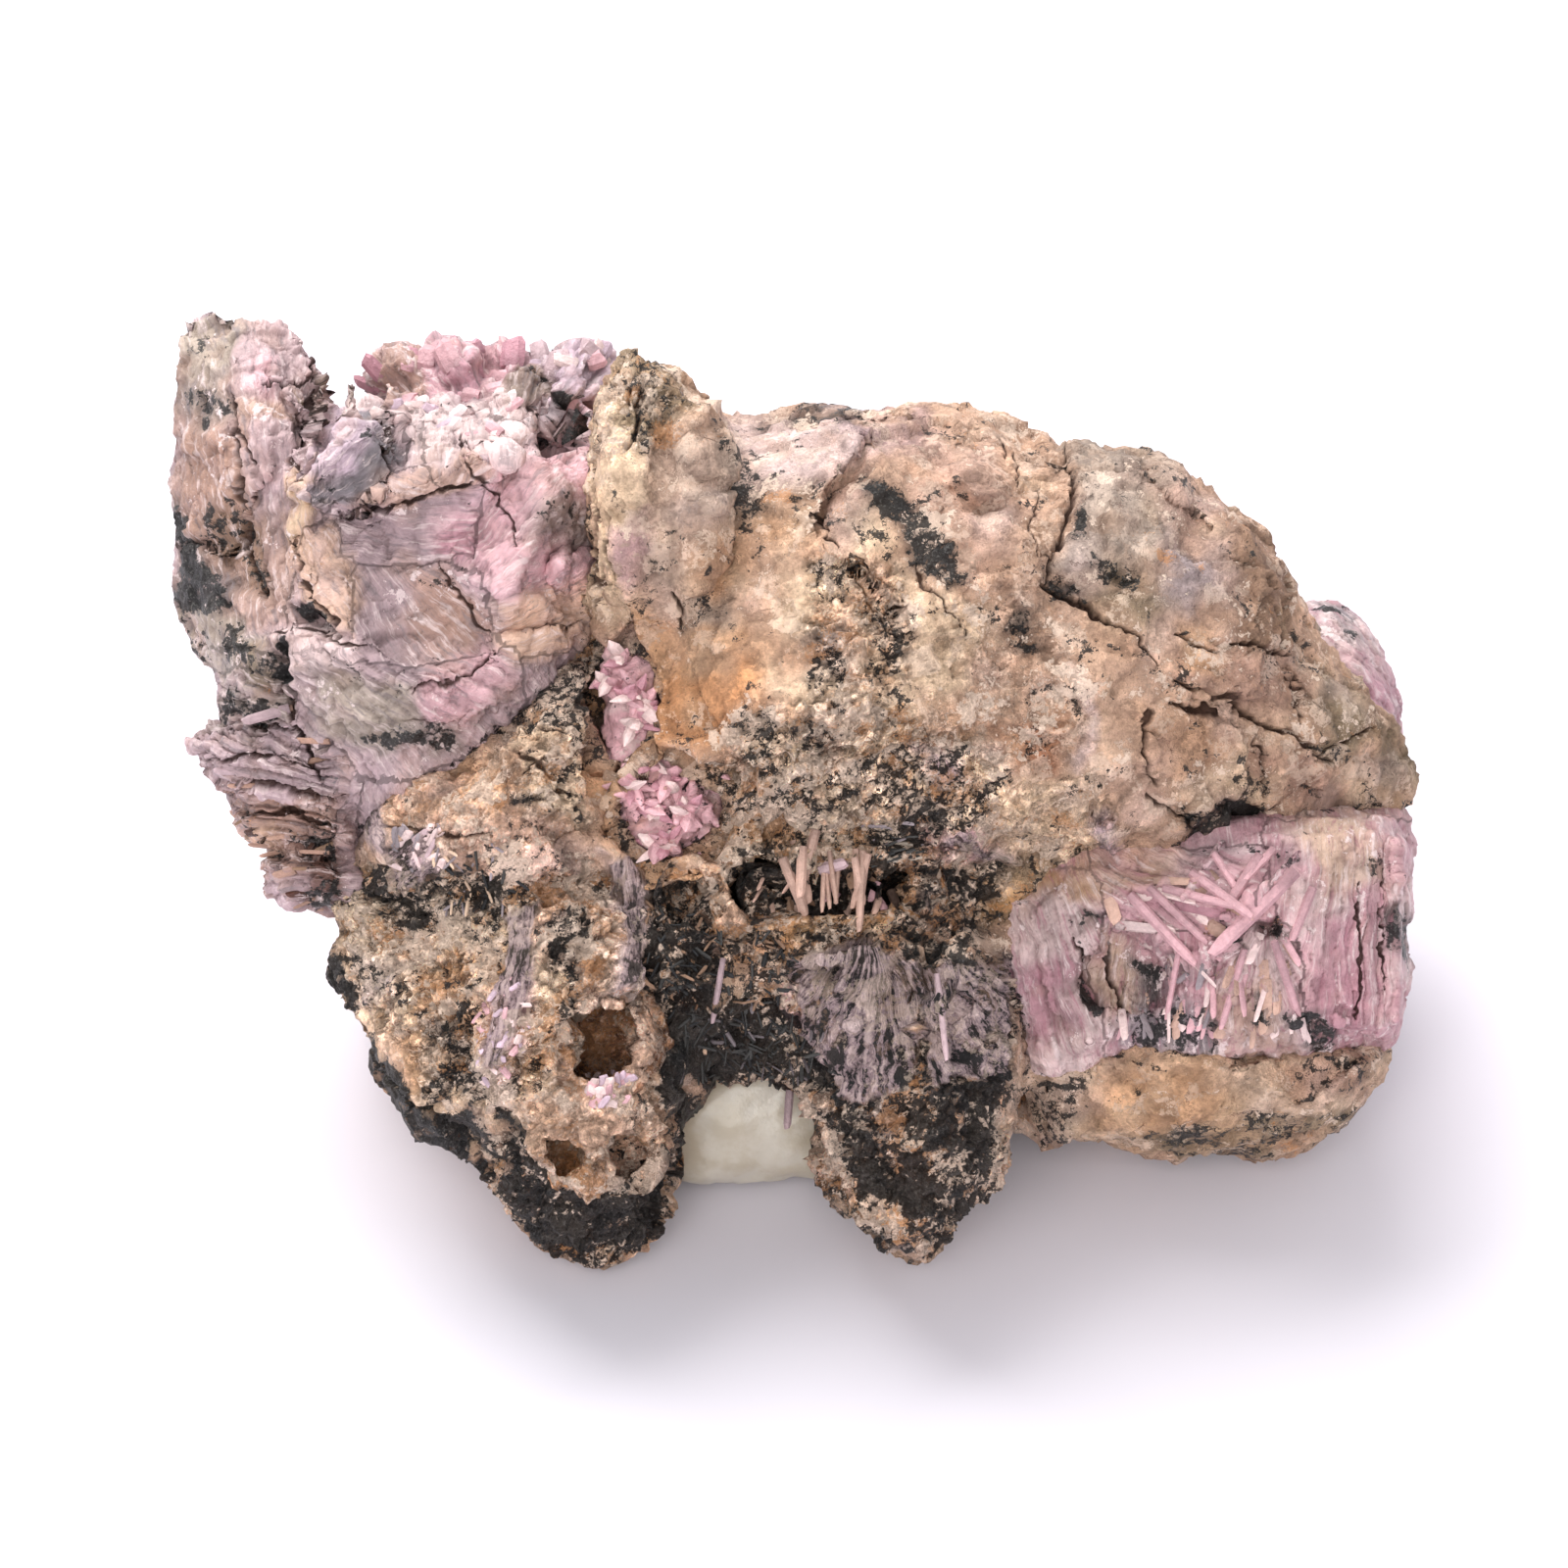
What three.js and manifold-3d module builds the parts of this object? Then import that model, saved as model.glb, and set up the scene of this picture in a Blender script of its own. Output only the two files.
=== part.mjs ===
// A hand specimen of inesite: a wedge of tan, weathered host rock that carries a grey-pink mass of inesite
// on its left, a level vein of pink bladed inesite on its right, a crust of spiky pink crystals in its
// middle hollow, and a pale lump of calcite behind the arch between its two lower lobes.
// Millimetres, +Z up. The specimen rests on a flat of its underside at z = 0.
import * as THREE from 'three';
import { mergeVertices } from 'three/addons/utils/BufferGeometryUtils.js';
import { ImprovedNoise } from 'three/addons/math/ImprovedNoise.js';
import Module from 'manifold-3d';

const wasm = await Module();
wasm.setup();

// The front of the rock is drawn on a view plane: u to the right, v up the plane and w out of it, towards
// an eye that looks down at VIEW_ELEVATION from VIEW_DISTANCE. The drawing's centre is DRAWING_CENTRE.
const VIEW_ELEVATION = THREE.MathUtils.degToRad(40);
const VIEW_DISTANCE = 450;
const DRAWING_CENTRE = new THREE.Vector3(-1.05, -2.9, 32);
const GAP = 0.3;               // space left between a piece and the rock that holds it
const GROWTH = GAP * 1.5;      // how far a piece is swelled before it is cut out of the rock
const CRUST_GROWTH = GAP * 3;  // the same for the pointed crystals of the crust
const FLOOR_BLOCK = 200;       // side of the block that trims the underside flat at z = 0
const GOLDEN_ANGLE = 2.39996;  // radians, spreads directions evenly round a ball
const MIN_RING = 5;            // fewest points in a ring of a lump
const BURST_ROOT = 0.3;        // share of a burst crystal's length at which it leaves the burst's centre

const SIN = Math.sin(VIEW_ELEVATION);
const COS = Math.cos(VIEW_ELEVATION);

// Places a point of the view plane; u and v are read at the drawing's own depth, w = 0.
function onView(u, v, w) {
  const near = (VIEW_DISTANCE - w) / VIEW_DISTANCE;
  const back = v * near * SIN - w * COS;
  const up = v * near * COS + w * SIN;
  return new THREE.Vector3(u * near, back, up).add(DRAWING_CENTRE);
}

// Places a point by plan: x to the right, y away from the eye and z up, from the drawing's centre.
function onPlan(x, y, z) {
  return new THREE.Vector3(x, y, z).add(DRAWING_CENTRE);
}

const noise = new ImprovedNoise();

// Rough broken rock: three octaves of noise, the finest ridged like chipped edges. It runs from about
// -1.2 to 1.2.
function rockNoise(p, grain) {
  const x = p.x / grain;
  const y = p.y / grain;
  const z = p.z / grain;
  const coarse = noise.noise(x, y, z);
  const medium = noise.noise(x * 2.1 + 7, y * 2.1, z * 2.1 + 3);
  const fine = 1 - 2 * Math.abs(noise.noise(x * 4.3, y * 4.3 + 5, z * 4.3));
  return coarse + medium * 0.7 + (fine - 0.5) * 0.9;
}

// A point of a closed outline, at a share of the way round it.
function along(outline, share) {
  const place = (share % 1) * outline.length;
  const i = Math.floor(place);
  const [ax, ay] = outline[i];
  const [bx, by] = outline[(i + 1) % outline.length];
  return [ax + (bx - ax) * (place - i), ay + (by - ay) * (place - i)];
}

// The outline run anticlockwise, with points added where two corners stand further apart than spacing.
function finer(outline, spacing) {
  const next = (i) => outline[(i + 1) % outline.length];
  const turn = outline.reduce((sum, [x, y], i) => sum + x * next(i)[1] - y * next(i)[0], 0);
  const points = outline.flatMap(([x, y], i) => {
    const [nx, ny] = next(i);
    const parts = Math.max(1, Math.round(Math.hypot(nx - x, ny - y) / spacing));
    const step = [(nx - x) / parts, (ny - y) / parts];
    return Array.from({ length: parts }, (_, k) => [x + step[0] * k, y + step[1] * k]);
  });
  return turn < 0 ? points.reverse() : points;
}

// An outline with no drawn points: an oval.
function oval([a, b], halfA, halfB, points = 9) {
  return Array.from({ length: points }, (_, i) => {
    const t = (i / points) * 2 * Math.PI;
    return [a + halfA * Math.cos(t), b + halfB * Math.sin(t)];
  });
}

function indexed(geometry) {
  geometry.deleteAttribute('normal');
  geometry.deleteAttribute('uv');
  return mergeVertices(geometry, 1e-4);
}

// Triangles between an outer ring and an inner one, each given as its first point and its count.
function joinRings([outer, n], [inner, m], flipped) {
  const triangles = [];
  const innerSteps = m > 1 ? m : 0;
  let i = 0;
  let j = 0;
  while (i < n || j < innerSteps) {
    const a = outer + (i % n);
    const b = inner + (j % m);
    const outerFirst = j >= innerSteps || (i < n && (i + 1) / n <= (j + 1) / m);
    if (outerFirst) i += 1;
    else j += 1;
    const c = outerFirst ? outer + (i % n) : inner + (j % m);
    triangles.push(...(flipped ? [a, b, c] : [a, c, b]));
  }
  return triangles;
}

// Flats that break the corners off a lump all round, each cut to about the depth given. One that faces
// sideways does not bite, so the drawn outline keeps its place.
function chipFlats({ count, depth, seed = 0 }, points, origin, axis) {
  return Array.from({ length: count }, (_, i) => {
    const rise = 1 - (2 * (i + 0.5)) / count;
    const angle = i * GOLDEN_ANGLE + seed;
    const flat = Math.sqrt(1 - rise * rise);
    const normal = new THREE.Vector3(flat * Math.cos(angle), flat * Math.sin(angle), rise);
    const furthest = Math.max(...points.map((p) => p.clone().sub(origin).dot(normal)));
    const bite = depth * Math.abs(normal.dot(axis)) * (0.8 + 0.45 * Math.sin(i * 5.1 + seed));
    return { normal, distance: furthest - bite };
  });
}

function flatten(points, origin, flats) {
  points.forEach((p) => flats.forEach(({ normal, distance }) => {
    const past = p.clone().sub(origin).dot(normal) - distance;
    if (past > 0) p.addScaledVector(normal, -past);
  }));
}

// A lump of rock: an outline on the view or the plan, swelled to near and far along the third axis.
// boxy runs from 2, an ellipsoid, upwards to squarer forms. lean tilts the near face. facets are flats
// that cut the lump, each a direction and its distance from the centre, and chips are flats all round it.
// rough is the depth of the broken surface, and edge is the share of it that the outline takes.
// rings are the rows of points between the outline and the middle of each face.
function lump({ place = onView, outline, centre, near, far, boxy = 3.2, lean = [0, 0], facets = [], chips,
  rough = 0.7, grain = 7, edge = 0.15, spacing = 3.5, rings = [3, 2] }) {
  const drawn = finer(outline, spacing);
  const origin = place(...centre);
  const points = [];
  const addPoint = (a, b, size, side) => {
    const [da, db] = [(a - centre[0]) * size, (b - centre[1]) * size];
    const deep = (1 - size ** boxy) ** (1 / boxy);
    const tilt = side > 0 ? (lean[0] * da + lean[1] * db) * deep : 0;
    const p = place(centre[0] + da, centre[1] + db, centre[2] + (side > 0 ? near : -far) * deep + tilt);
    const share = edge + (1 - edge) * deep;
    points.push(p.addScaledVector(p.clone().sub(origin).normalize(), share * rough * rockNoise(p, grain)));
  };
  const addRing = (size, side, stagger) => {
    const count = Math.max(MIN_RING, Math.round(drawn.length * size ** 1.3));
    const first = points.length;
    for (let j = 0; j < count; j += 1) addPoint(...along(drawn, (j + stagger) / count), size, side);
    return [first, count];
  };
  const rim = addRing(1, 1, 0);
  const triangles = [1, -1].flatMap((side, face) => {
    const steps = rings[face] + 1;
    const rows = [rim];
    for (let k = 1; k < steps; k += 1) rows.push(addRing(1 - (k / steps) ** 1.5, side, 0.5 * (k % 2)));
    const pole = [points.length, 1];
    addPoint(...centre.slice(0, 2), 0, side);
    return [...rows.slice(1), pole].flatMap((row, k) => joinRings(rows[k], row, side < 0));
  });
  flatten(points, origin, facets.map(([a, b, c, distance]) => ({
    normal: place(centre[0] + a, centre[1] + b, centre[2] + c).sub(origin).normalize(), distance })));
  const axis = place(centre[0], centre[1], centre[2] + 1).sub(origin).normalize();
  if (chips) flatten(points, origin, chipFlats(chips, points, origin, axis));
  const shape = new THREE.BufferGeometry().setFromPoints(points);
  shape.setIndex(triangles);
  return shape;
}

// A four-sided crystal blade from root to tip, both placed points. Its end is a share of its width.
function blade(root, tip, width, thickness, turn = 0, end = 0.55) {
  const run = tip.clone().sub(root);
  const shape = indexed(new THREE.CylinderGeometry(width * 0.55 * end, width * 0.55, run.length(), 4));
  shape.scale(1, 1, thickness / width);
  shape.rotateY(turn);
  const upright = new THREE.Quaternion().setFromUnitVectors(new THREE.Vector3(0, 1, 0), run.normalize());
  shape.applyQuaternion(upright);
  const middle = root.clone().add(tip).multiplyScalar(0.5);
  shape.translate(middle.x, middle.y, middle.z);
  return shape;
}

// Blades that fan from one root point: each spreads by its angle on the view plane and rises by lift.
function fan({ root, length, width, thickness, from, to, count, lift, seed = 0 }) {
  return Array.from({ length: count }, (_, i) => {
    const wobble = noise.noise(i * 1.7 + seed, seed * 2.3, 0.5);
    const share = i / Math.max(count - 1, 1);
    const angle = THREE.MathUtils.degToRad(from + (to - from) * share + 12 * wobble);
    const reachOut = length * (0.85 + 0.5 * wobble);
    const tip = onView(root[0] + reachOut * Math.cos(angle), root[1] + reachOut * Math.sin(angle),
      root[2] + lift * (0.6 + 0.4 * Math.cos(i * 2.1)));
    return blade(onView(...root), tip, width, thickness, angle + i);
  });
}

// A burst of short crystals that point all round out of the rock, towards the eye.
function burst({ centre, size, width, count, seed = 0 }) {
  return Array.from({ length: count }, (_, i) => {
    const rise = 0.4 + (0.6 * (i + 0.5)) / count;
    const angle = i * 2.4 + seed;
    const flat = Math.sqrt(1 - rise * rise);
    const length = size * (0.85 + 0.3 * Math.sin(i * 3.7 + seed));
    const out = [flat * Math.cos(angle), flat * Math.sin(angle), rise];
    const reach = (share) => onView(...centre.map((c, k) => c + length * share * out[k]));
    const [root, tip] = [reach(BURST_ROOT), reach(1)];
    return blade(root, tip, width, width * 0.8, i, 0);
  });
}

// Blades side by side, each a step on from the last, from a foot to a head; the row bows towards the eye.
function sheaf({ foot, head, step, count, width, thickness, bow = 0, seed = 0 }) {
  return Array.from({ length: count }, (_, i) => {
    const out = bow * Math.sin((Math.PI * (i + 1)) / (count + 1));
    const trim = 0.12 * Math.abs(noise.noise(i * 1.3 + seed, 4.2, 0.7));
    const [a, b] = [foot, head].map((end) => end.map((value, k) => value + step[k] * i));
    const root = onView(a[0] + (b[0] - a[0]) * trim, a[1] + (b[1] - a[1]) * trim, a[2] + out);
    const tip = onView(b[0] - (b[0] - a[0]) * trim, b[1] - (b[1] - a[1]) * trim, b[2] + out);
    return blade(root, tip, width, thickness, i * 0.4 + seed);
  });
}

// A geometry as a solid, swelled along its normals by growth.
function solid(geometry, growth = 0) {
  const source = growth ? geometry.clone() : geometry;
  const position = source.getAttribute('position');
  if (growth) {
    source.computeVertexNormals();
    const normals = source.getAttribute('normal');
    for (let i = 0; i < position.count; i += 1) {
      const point = new THREE.Vector3().fromBufferAttribute(position, i);
      const normal = new THREE.Vector3().fromBufferAttribute(normals, i);
      position.setXYZ(i, ...point.addScaledVector(normal, growth));
    }
  }
  return new wasm.Manifold(new wasm.Mesh({
    numProp: 3,
    vertProperties: new Float32Array(position.array),
    triVerts: new Uint32Array(source.index.array),
  }));
}

function united(geometries, growth = 0) {
  return geometries.map((geometry) => solid(geometry, growth)).reduce((all, one) => all.add(one));
}

// Chips that a cut has freed are dropped, and the largest body is kept.
function largest(body) {
  return body.decompose().reduce((best, one) => (one.volume() > best.volume() ? one : best));
}

function block(width, depth, height, x, y, z) {
  return solid(indexed(new THREE.BoxGeometry(width, depth, height).translate(x, y, z)));
}

// The tan host rock, chunk by chunk

const TAN_CAP = lump({
  outline: [[-11.6, 35.4], [-10.1, 34.8], [-8.2, 34], [-7.3, 32.5], [-5.8, 31], [-3.7, 29.9],
    [-2.2, 30.1], [1.7, 30.9], [3.4, 31], [7, 30.2], [10.1, 31], [15, 30.6], [18, 30.3], [21.4, 28.7],
    [22.4, 27.1], [28.5, 27.1], [32.2, 25.8], [35, 24.2], [39, 21.4], [40.8, 20.1], [41, 18.2],
    [43.1, 13.6], [47.4, 8.4], [53, 6.2], [55.8, 3.6], [56.2, 1.6], [55.8, 0], [55, -1.8], [54.4, -3.4],
    [40, -3.8], [28, -6], [16, -7], [8, -8], [-4, -7], [-14, 0], [-15.6, 12], [-15.6, 28],
    [-13.6, 33.6]],
  centre: [14, 12, 0], near: 16.8, far: 24, boxy: 3.8, lean: [-0.1, -0.12],
  rough: 0.9, grain: 8, rings: [5, 2],
  facets: [[0.45, 0.62, 0.85, 19.3], [0.75, 0.1, 0.9, 22.4], [-0.3, 0.7, 0.9, 20.2], [0.1, -0.5, 1, 19.4]],
  chips: { count: 30, depth: 4.4, seed: 0.7 },
});

// The ridge that runs down the cap's left edge, beside the inesite mass
const TAN_PILLAR = lump({
  outline: [[-14.8, 33.2], [-12.6, 35], [-10.4, 34.8], [-7.2, 31], [-4.6, 26], [-4.4, 18], [-6, 12],
    [-10.6, 10.2], [-15.4, 12], [-15.7, 24]],
  centre: [-11, 23, 8], near: 8.4, far: 14, boxy: 2.7, lean: [-0.12, 0.02],
  rough: 0.9, grain: 4.6, rings: [3, 1],
  chips: { count: 14, depth: 1.2, seed: 0.2 },
});

const LOWER_TAN_LEDGE = lump({
  outline: [[50.2, -21.1], [50, -22.6], [49.1, -24.4], [47.4, -25.8], [46.5, -27.4], [44.6, -29],
    [40.6, -30], [34.6, -30.6], [32.1, -31.5], [29.3, -30.3], [24.6, -29.3], [21.3, -30], [17.4, -26.4],
    [18, -21.6], [28, -20], [39.2, -20.4]],
  centre: [34, -25, -6], near: 12.5, far: 15, boxy: 3, lean: [-0.06, 0.62],
  rough: 0.6, grain: 5, rings: [4, 1],
  facets: [[0.1, -0.55, 0.75, 8.8]], chips: { count: 18, depth: 3, seed: 1.1 },
});

const DARK_PYRAMID = lump({
  outline: [[18.6, -32.1], [16.3, -34.2], [14.5, -35.9], [13.4, -38], [11.7, -40.2], [10.2, -39.5],
    [7.4, -37.8], [6.1, -36.1], [3.3, -34.2], [2.3, -33], [2.2, -28], [0, -24], [1, -17], [6, -11],
    [12, -9], [18.4, -13], [20, -22]],
  centre: [10.5, -24, 2], near: 17, far: 13, boxy: 2.3, lean: [-0.1, 0.05],
  rough: 1.1, grain: 4.2, rings: [5, 1],
  facets: [[-0.72, -0.1, 0.7, 12.6], [0.8, -0.2, 0.6, 11.2], [0.05, -0.5, 0.85, 15.4]],
  chips: { count: 20, depth: 2.8, seed: 2.3 },
});

const LEFT_LOBE = lump({
  outline: [[-36.4, -12], [-37.9, -14.6], [-37.4, -15.9], [-36, -17.4], [-35, -19.9], [-34.3, -23],
    [-32.6, -25.4], [-31.1, -28.2], [-30.2, -29.6], [-28.1, -29.3], [-26.2, -30.3], [-24.7, -31.8],
    [-23.2, -33.4], [-22.9, -35.2], [-21.9, -37], [-20.4, -38.8], [-18.6, -39.1], [-16.7, -40],
    [-15.5, -40.4], [-14, -39.7], [-11.5, -38.8], [-9.8, -36.9], [-10.3, -35.5], [-9.1, -34],
    [-8.2, -32.7], [-8, -28], [-5.6, -23.6], [-7, -14], [-12, -6], [-24, -5], [-34.4, -6.6]],
  centre: [-20, -21, 0], near: 15.8, far: 16, boxy: 2.9, lean: [0.12, -0.06],
  rough: 1.1, grain: 5, rings: [5, 1],
  facets: [[-0.75, -0.1, 0.65, 13.2], [0.2, -0.6, 0.8, 20.5]], chips: { count: 26, depth: 3.4, seed: 0.4 },
});

const MIDDLE = lump({
  outline: [[-18, 6], [-10, 8], [4, 4], [20, 0], [22, -8], [20, -20], [10, -24], [2, -25.5],
    [-2, -24.6], [-6, -23.6], [-12, -22], [-22, -14], [-24, -4]],
  centre: [0, -9, -2], near: 15, far: 20, boxy: 3,
  rough: 1.7, grain: 4, rings: [5, 1], chips: { count: 24, depth: 3 },
});

const TAN_PATCH = lump({
  outline: [[-15.2, 12], [-14.6, 0], [-12, -8], [-22, -10], [-33.6, -9], [-34.6, -5], [-33.4, 0.6],
    [-28, 1.4], [-25, 3], [-22.2, 6.6], [-18, 9.4]],
  centre: [-21, -1.4, 0], near: 15.2, far: 14, boxy: 3, lean: [0.14, 0],
  rough: 0.8, grain: 5, rings: [4, 1],
  chips: { count: 16, depth: 1.4, seed: 0.9 },
});

// The body behind and below the chunks of the front, drawn on the plan
const CORE = lump({
  place: onPlan,
  outline: [[-37, -8], [-38, 12], [-32, 24], [-16, 28], [6, 27], [24, 25], [38, 18], [42, 4], [38, -8],
    [22, -14], [2, -12], [-16, -14], [-28, -15]],
  centre: [0, 7, -8], near: 22, far: 29.5, boxy: 2.9, rough: 2, grain: 9, edge: 1, rings: [2, 4],
  facets: [[0, 0.92, 0.45, 20], [-0.7, 0.6, -0.25, 34], [0.66, 0.5, -0.5, 36], [0, -0.5, -1, 24.5],
    [0.1, 0.9, -0.4, 21], [-0.55, -0.45, -0.7, 31], [0.6, -0.45, -0.66, 33]],
  chips: { count: 26, depth: 7, seed: 1.6 },
});

const BACK_SHOULDER = lump({
  place: onPlan,
  outline: [[-30, 10], [-28, 24], [-16, 28], [0, 25], [8, 16], [4, 4], [-12, 0], [-26, 2]],
  centre: [-12, 13, 8], near: 13, far: 16, boxy: 2.8, rough: 1.2, grain: 6, edge: 1, rings: [3, 2],
  chips: { count: 14, depth: 5, seed: 2.2 },
});

const LEFT_FOOT = lump({
  place: onPlan,
  outline: oval([-24, 4], 14, 15),
  centre: [-24, 4, -18], near: 13, far: 16, boxy: 2.6, rough: 1.4, grain: 7, edge: 1, rings: [1, 3],
  chips: { count: 14, depth: 2.6, seed: 3 },
});

// Ledges left standing on the back where the rock broke away
const BACK_LEDGES = [
  { at: [8, 31, 6], half: [15, 5.6], up: 7, down: 9 },
  { at: [-13, 32.6, -9], half: [12, 4.6], up: 6, down: 12 },
  { at: [24, 27, -14], half: [11, 5.2], up: 5.6, down: 8 },
];

function backLedge({ at, half, up, down }, i) {
  return lump({
    place: onPlan,
    outline: oval(at, ...half),
    centre: at, near: up, far: down, boxy: 3.6, rough: 1.6, grain: 5, edge: 1, spacing: 5, rings: [2, 1],
    chips: { count: 12, depth: 3, seed: i },
  });
}

// The grey-pink inesite mass: a leaning slab, the broad front block with a knob and points on its
// shoulder, the crest of crystals behind them, and the plates of the striated lump at the lower left

const MASS_SLAB = lump({
  outline: [[-49, 37.5], [-46.4, 39.2], [-41.8, 38.3], [-39.8, 37.7], [-38.4, 34.2], [-36.6, 31.6],
    [-36, 28], [-35, 20], [-32, 10], [-33, 2], [-45.4, 7.2], [-47.6, 11.2], [-49.8, 15.2], [-50.4, 22],
    [-50.4, 25], [-49.8, 28.8], [-50, 31.4]],
  centre: [-42.6, 21, -6], near: 15.6, far: 17, boxy: 3.4, lean: [0.62, -0.1],
  rough: 0.9, grain: 5, rings: [4, 2],
  facets: [[-0.8, 0.1, 0.7, 8.6], [0.2, 0.75, 0.6, 15.5]], chips: { count: 22, depth: 4.6, seed: 0.5 },
});

const MASS_BLOCK = lump({
  outline: [[-36.8, 30], [-35, 31.2], [-33.4, 31.4], [-31.6, 29.4], [-29, 30], [-26, 31.2],
    [-22.4, 31.4], [-20, 30.6], [-18, 32.4], [-15.4, 31], [-15.2, 12.8], [-19, 7.6], [-23, 4.4],
    [-25.6, 0.4], [-31, -4], [-35.6, -6], [-38, 0], [-40, 8], [-40, 16], [-38.6, 24]],
  centre: [-27.5, 15, -4], near: 18.6, far: 20, boxy: 3.2, lean: [0.04, -0.06],
  rough: 0.9, grain: 7, rings: [5, 2],
  facets: [[-0.75, 0.12, 0.85, 17.6], [0.35, 0.6, 0.95, 19], [-0.2, -0.6, 0.9, 20]],
  chips: { count: 24, depth: 4, seed: 1.4 },
});

const MASS_KNOB = lump({
  outline: [[-38.8, 22.6], [-38.4, 26], [-35.6, 29.4], [-32.6, 30], [-31.4, 27], [-32, 23.4],
    [-35, 21.8]],
  centre: [-35.2, 25.4, 9.6], near: 5.8, far: 6, boxy: 2.8, rough: 0.4, grain: 3, rings: [2, 1],
  chips: { count: 9, depth: 2, seed: 0.9 },
});

// Crystal points that stand along the top of the front block, and the lip that curves right from the knob
const MASS_POINTS = [
  [[-33, 25, 8], [-31.8, 32.6, 6], 3, 2],
  [[-35.6, 26, 6], [-35.4, 32.8, 3], 2.6, 2],
  [[-26, 27, 6], [-27.2, 32, 2], 2.4, 2],
  [[-22.6, 26, 8], [-21.2, 33.4, 4], 4.6, 3],
  [[-18.6, 27, 6], [-17, 33.8, 3], 4, 3],
  [[-34.6, 21.8, 12.6], [-22, 27.2, 12.6], 2.6, 2],
  [[-41, 24, 9], [-37, 31, 7], 3, 2],
];

// The crest's crystals: where each lump sits, its half sizes and its depth
const MASS_CREST = [
  { at: [-31.6, 33], half: [3.4, 3], depth: -12 },
  { at: [-27, 33.4], half: [3, 3.7], depth: -10 },
  { at: [-22, 33], half: [3.8, 3.8], depth: -11 },
  { at: [-16.6, 33], half: [3.6, 3.5], depth: -9 },
  { at: [-26, 29.6], half: [9.4, 3.4], depth: -7 },
];

function crestLump({ at, half, depth }, i) {
  return lump({
    outline: oval(at, ...half),
    centre: [...at, depth], near: 5 + (i % 2), far: 8, boxy: 2.7, rough: 0.8, grain: 2.4, rings: [1, 1],
    chips: { count: 10, depth: 2.2, seed: i },
  });
}

// The striated lump: plates one above another, each with its middle, half sizes and depth
const MASS_PLATES = [
  { at: [-40.6, 5.6], half: [6, 3], depth: 3.4 },
  { at: [-41.2, 1.2], half: [7.2, 2.8], depth: 3 },
  { at: [-40, -3.2], half: [5.8, 2.9], depth: 1.6 },
  { at: [-38.2, -7.6], half: [4.6, 3], depth: 0.2 },
];
const PLATE_SLOPE = -0.22;     // how far the plates dip to the right
const PLATE_CORNERS = [[-1, 0.2], [-0.8, 0.9], [0, 1], [0.9, 0.9], [1, 0], [0.85, -0.9], [0, -1],
  [-0.75, -0.9]];

function plate({ at: [u, v], half: [a, b], depth }, i) {
  return lump({
    outline: PLATE_CORNERS.map(([x, y]) => [u + a * x, v + b * y + PLATE_SLOPE * a * x]),
    centre: [u, v, depth - 6], near: 8.4, far: 9, boxy: 4, lean: [0.3, 0.1], rough: 0.5, grain: 2.6,
    rings: [2, 1], chips: { count: 10, depth: 0.8, seed: i },
  });
}

// The pink vein: a level layer that shows as a blunt wall at the front right and as a knob at the back

const VEIN_FRONT = lump({
  outline: [[50.7, -2.2], [51.2, -4.9], [50.8, -7.8], [51.2, -10.2], [50.7, -11.9], [51.3, -15.5],
    [50.7, -17.3], [50.1, -20.8], [39.2, -22.2], [28, -21.6], [20, -24], [17.4, -16], [15.6, -9.4],
    [22.4, -5], [32, -3.4], [41.6, -2.2]],
  centre: [36, -12.4, -4], near: 14.6, far: 16, boxy: 3.6, lean: [0.03, 0.14],
  rough: 0.9, grain: 3.4, rings: [4, 2],
  chips: { count: 20, depth: 1.4 },
});

const VEIN_BACK = lump({
  outline: [[42.6, 15.2], [45, 15.1], [47.2, 13.4], [49, 10.9], [50.7, 6.6], [50.2, 5], [50.6, -1],
    [49, -9], [40, -9], [37, 4], [39.6, 12]],
  centre: [44.4, 3, -20], near: 11, far: 10, boxy: 2.8, rough: 0.9, grain: 4, rings: [3, 2],
  chips: { count: 14, depth: 1.4, seed: 1 },
});

const VEIN_HOLLOW = lump({
  outline: [[22.6, -17], [24.6, -14.2], [25.4, -11.6], [29, -11.2], [32.2, -13], [33.4, -16.4],
    [30.6, -19.4], [26, -19]],
  centre: [28, -15.4, 11], near: 6, far: 5, boxy: 2.6, rough: 0.4, grain: 3, rings: [2, 2],
});

// Single blades on the wall of the vein: root, tip, width and thickness
const VEIN_BLADES = [
  [[33.4, -14.8, 10.8], [42.4, -5.2, 13.4], 1.7, 1.2],
  [[36, -4.8, 10.4], [32.4, -9.6, 12.8], 1.6, 1.1],
  [[37, -17.6, 10], [35.8, -10.8, 12.8], 1.8, 1.2],
  [[30, -5, 10.2], [26.4, -8.8, 12.6], 1.5, 1.1],
  [[29.6, -18.6, 7.4], [28.4, -12.4, 8.6], 1.8, 1.4],
];

// Rows of blades grown side by side: the tall fibres at the vein's right end, the leaning ones at its
// left, and the long ones that slope under the cap
const VEIN_SHEAVES = [
  { foot: [39.6, -20.4, 8.8], head: [40.2, -3.8, 9.2], step: [1.9, 0.02, -0.5], count: 6,
    width: 3.2, thickness: 2.2, bow: 1.6 },
  { foot: [21.8, -21.2, 10.2], head: [18.4, -9.8, 12], step: [1.9, 0.5, 0.1], count: 2,
    width: 2.8, thickness: 2, bow: 0.7 },
  { foot: [25.4, -6.2, 10.4], head: [33.8, -12.6, 12.6], step: [-2.6, -1, -0.2], count: 2,
    width: 1.8, thickness: 1.2, bow: 0.2, seed: 1 },
];

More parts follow.
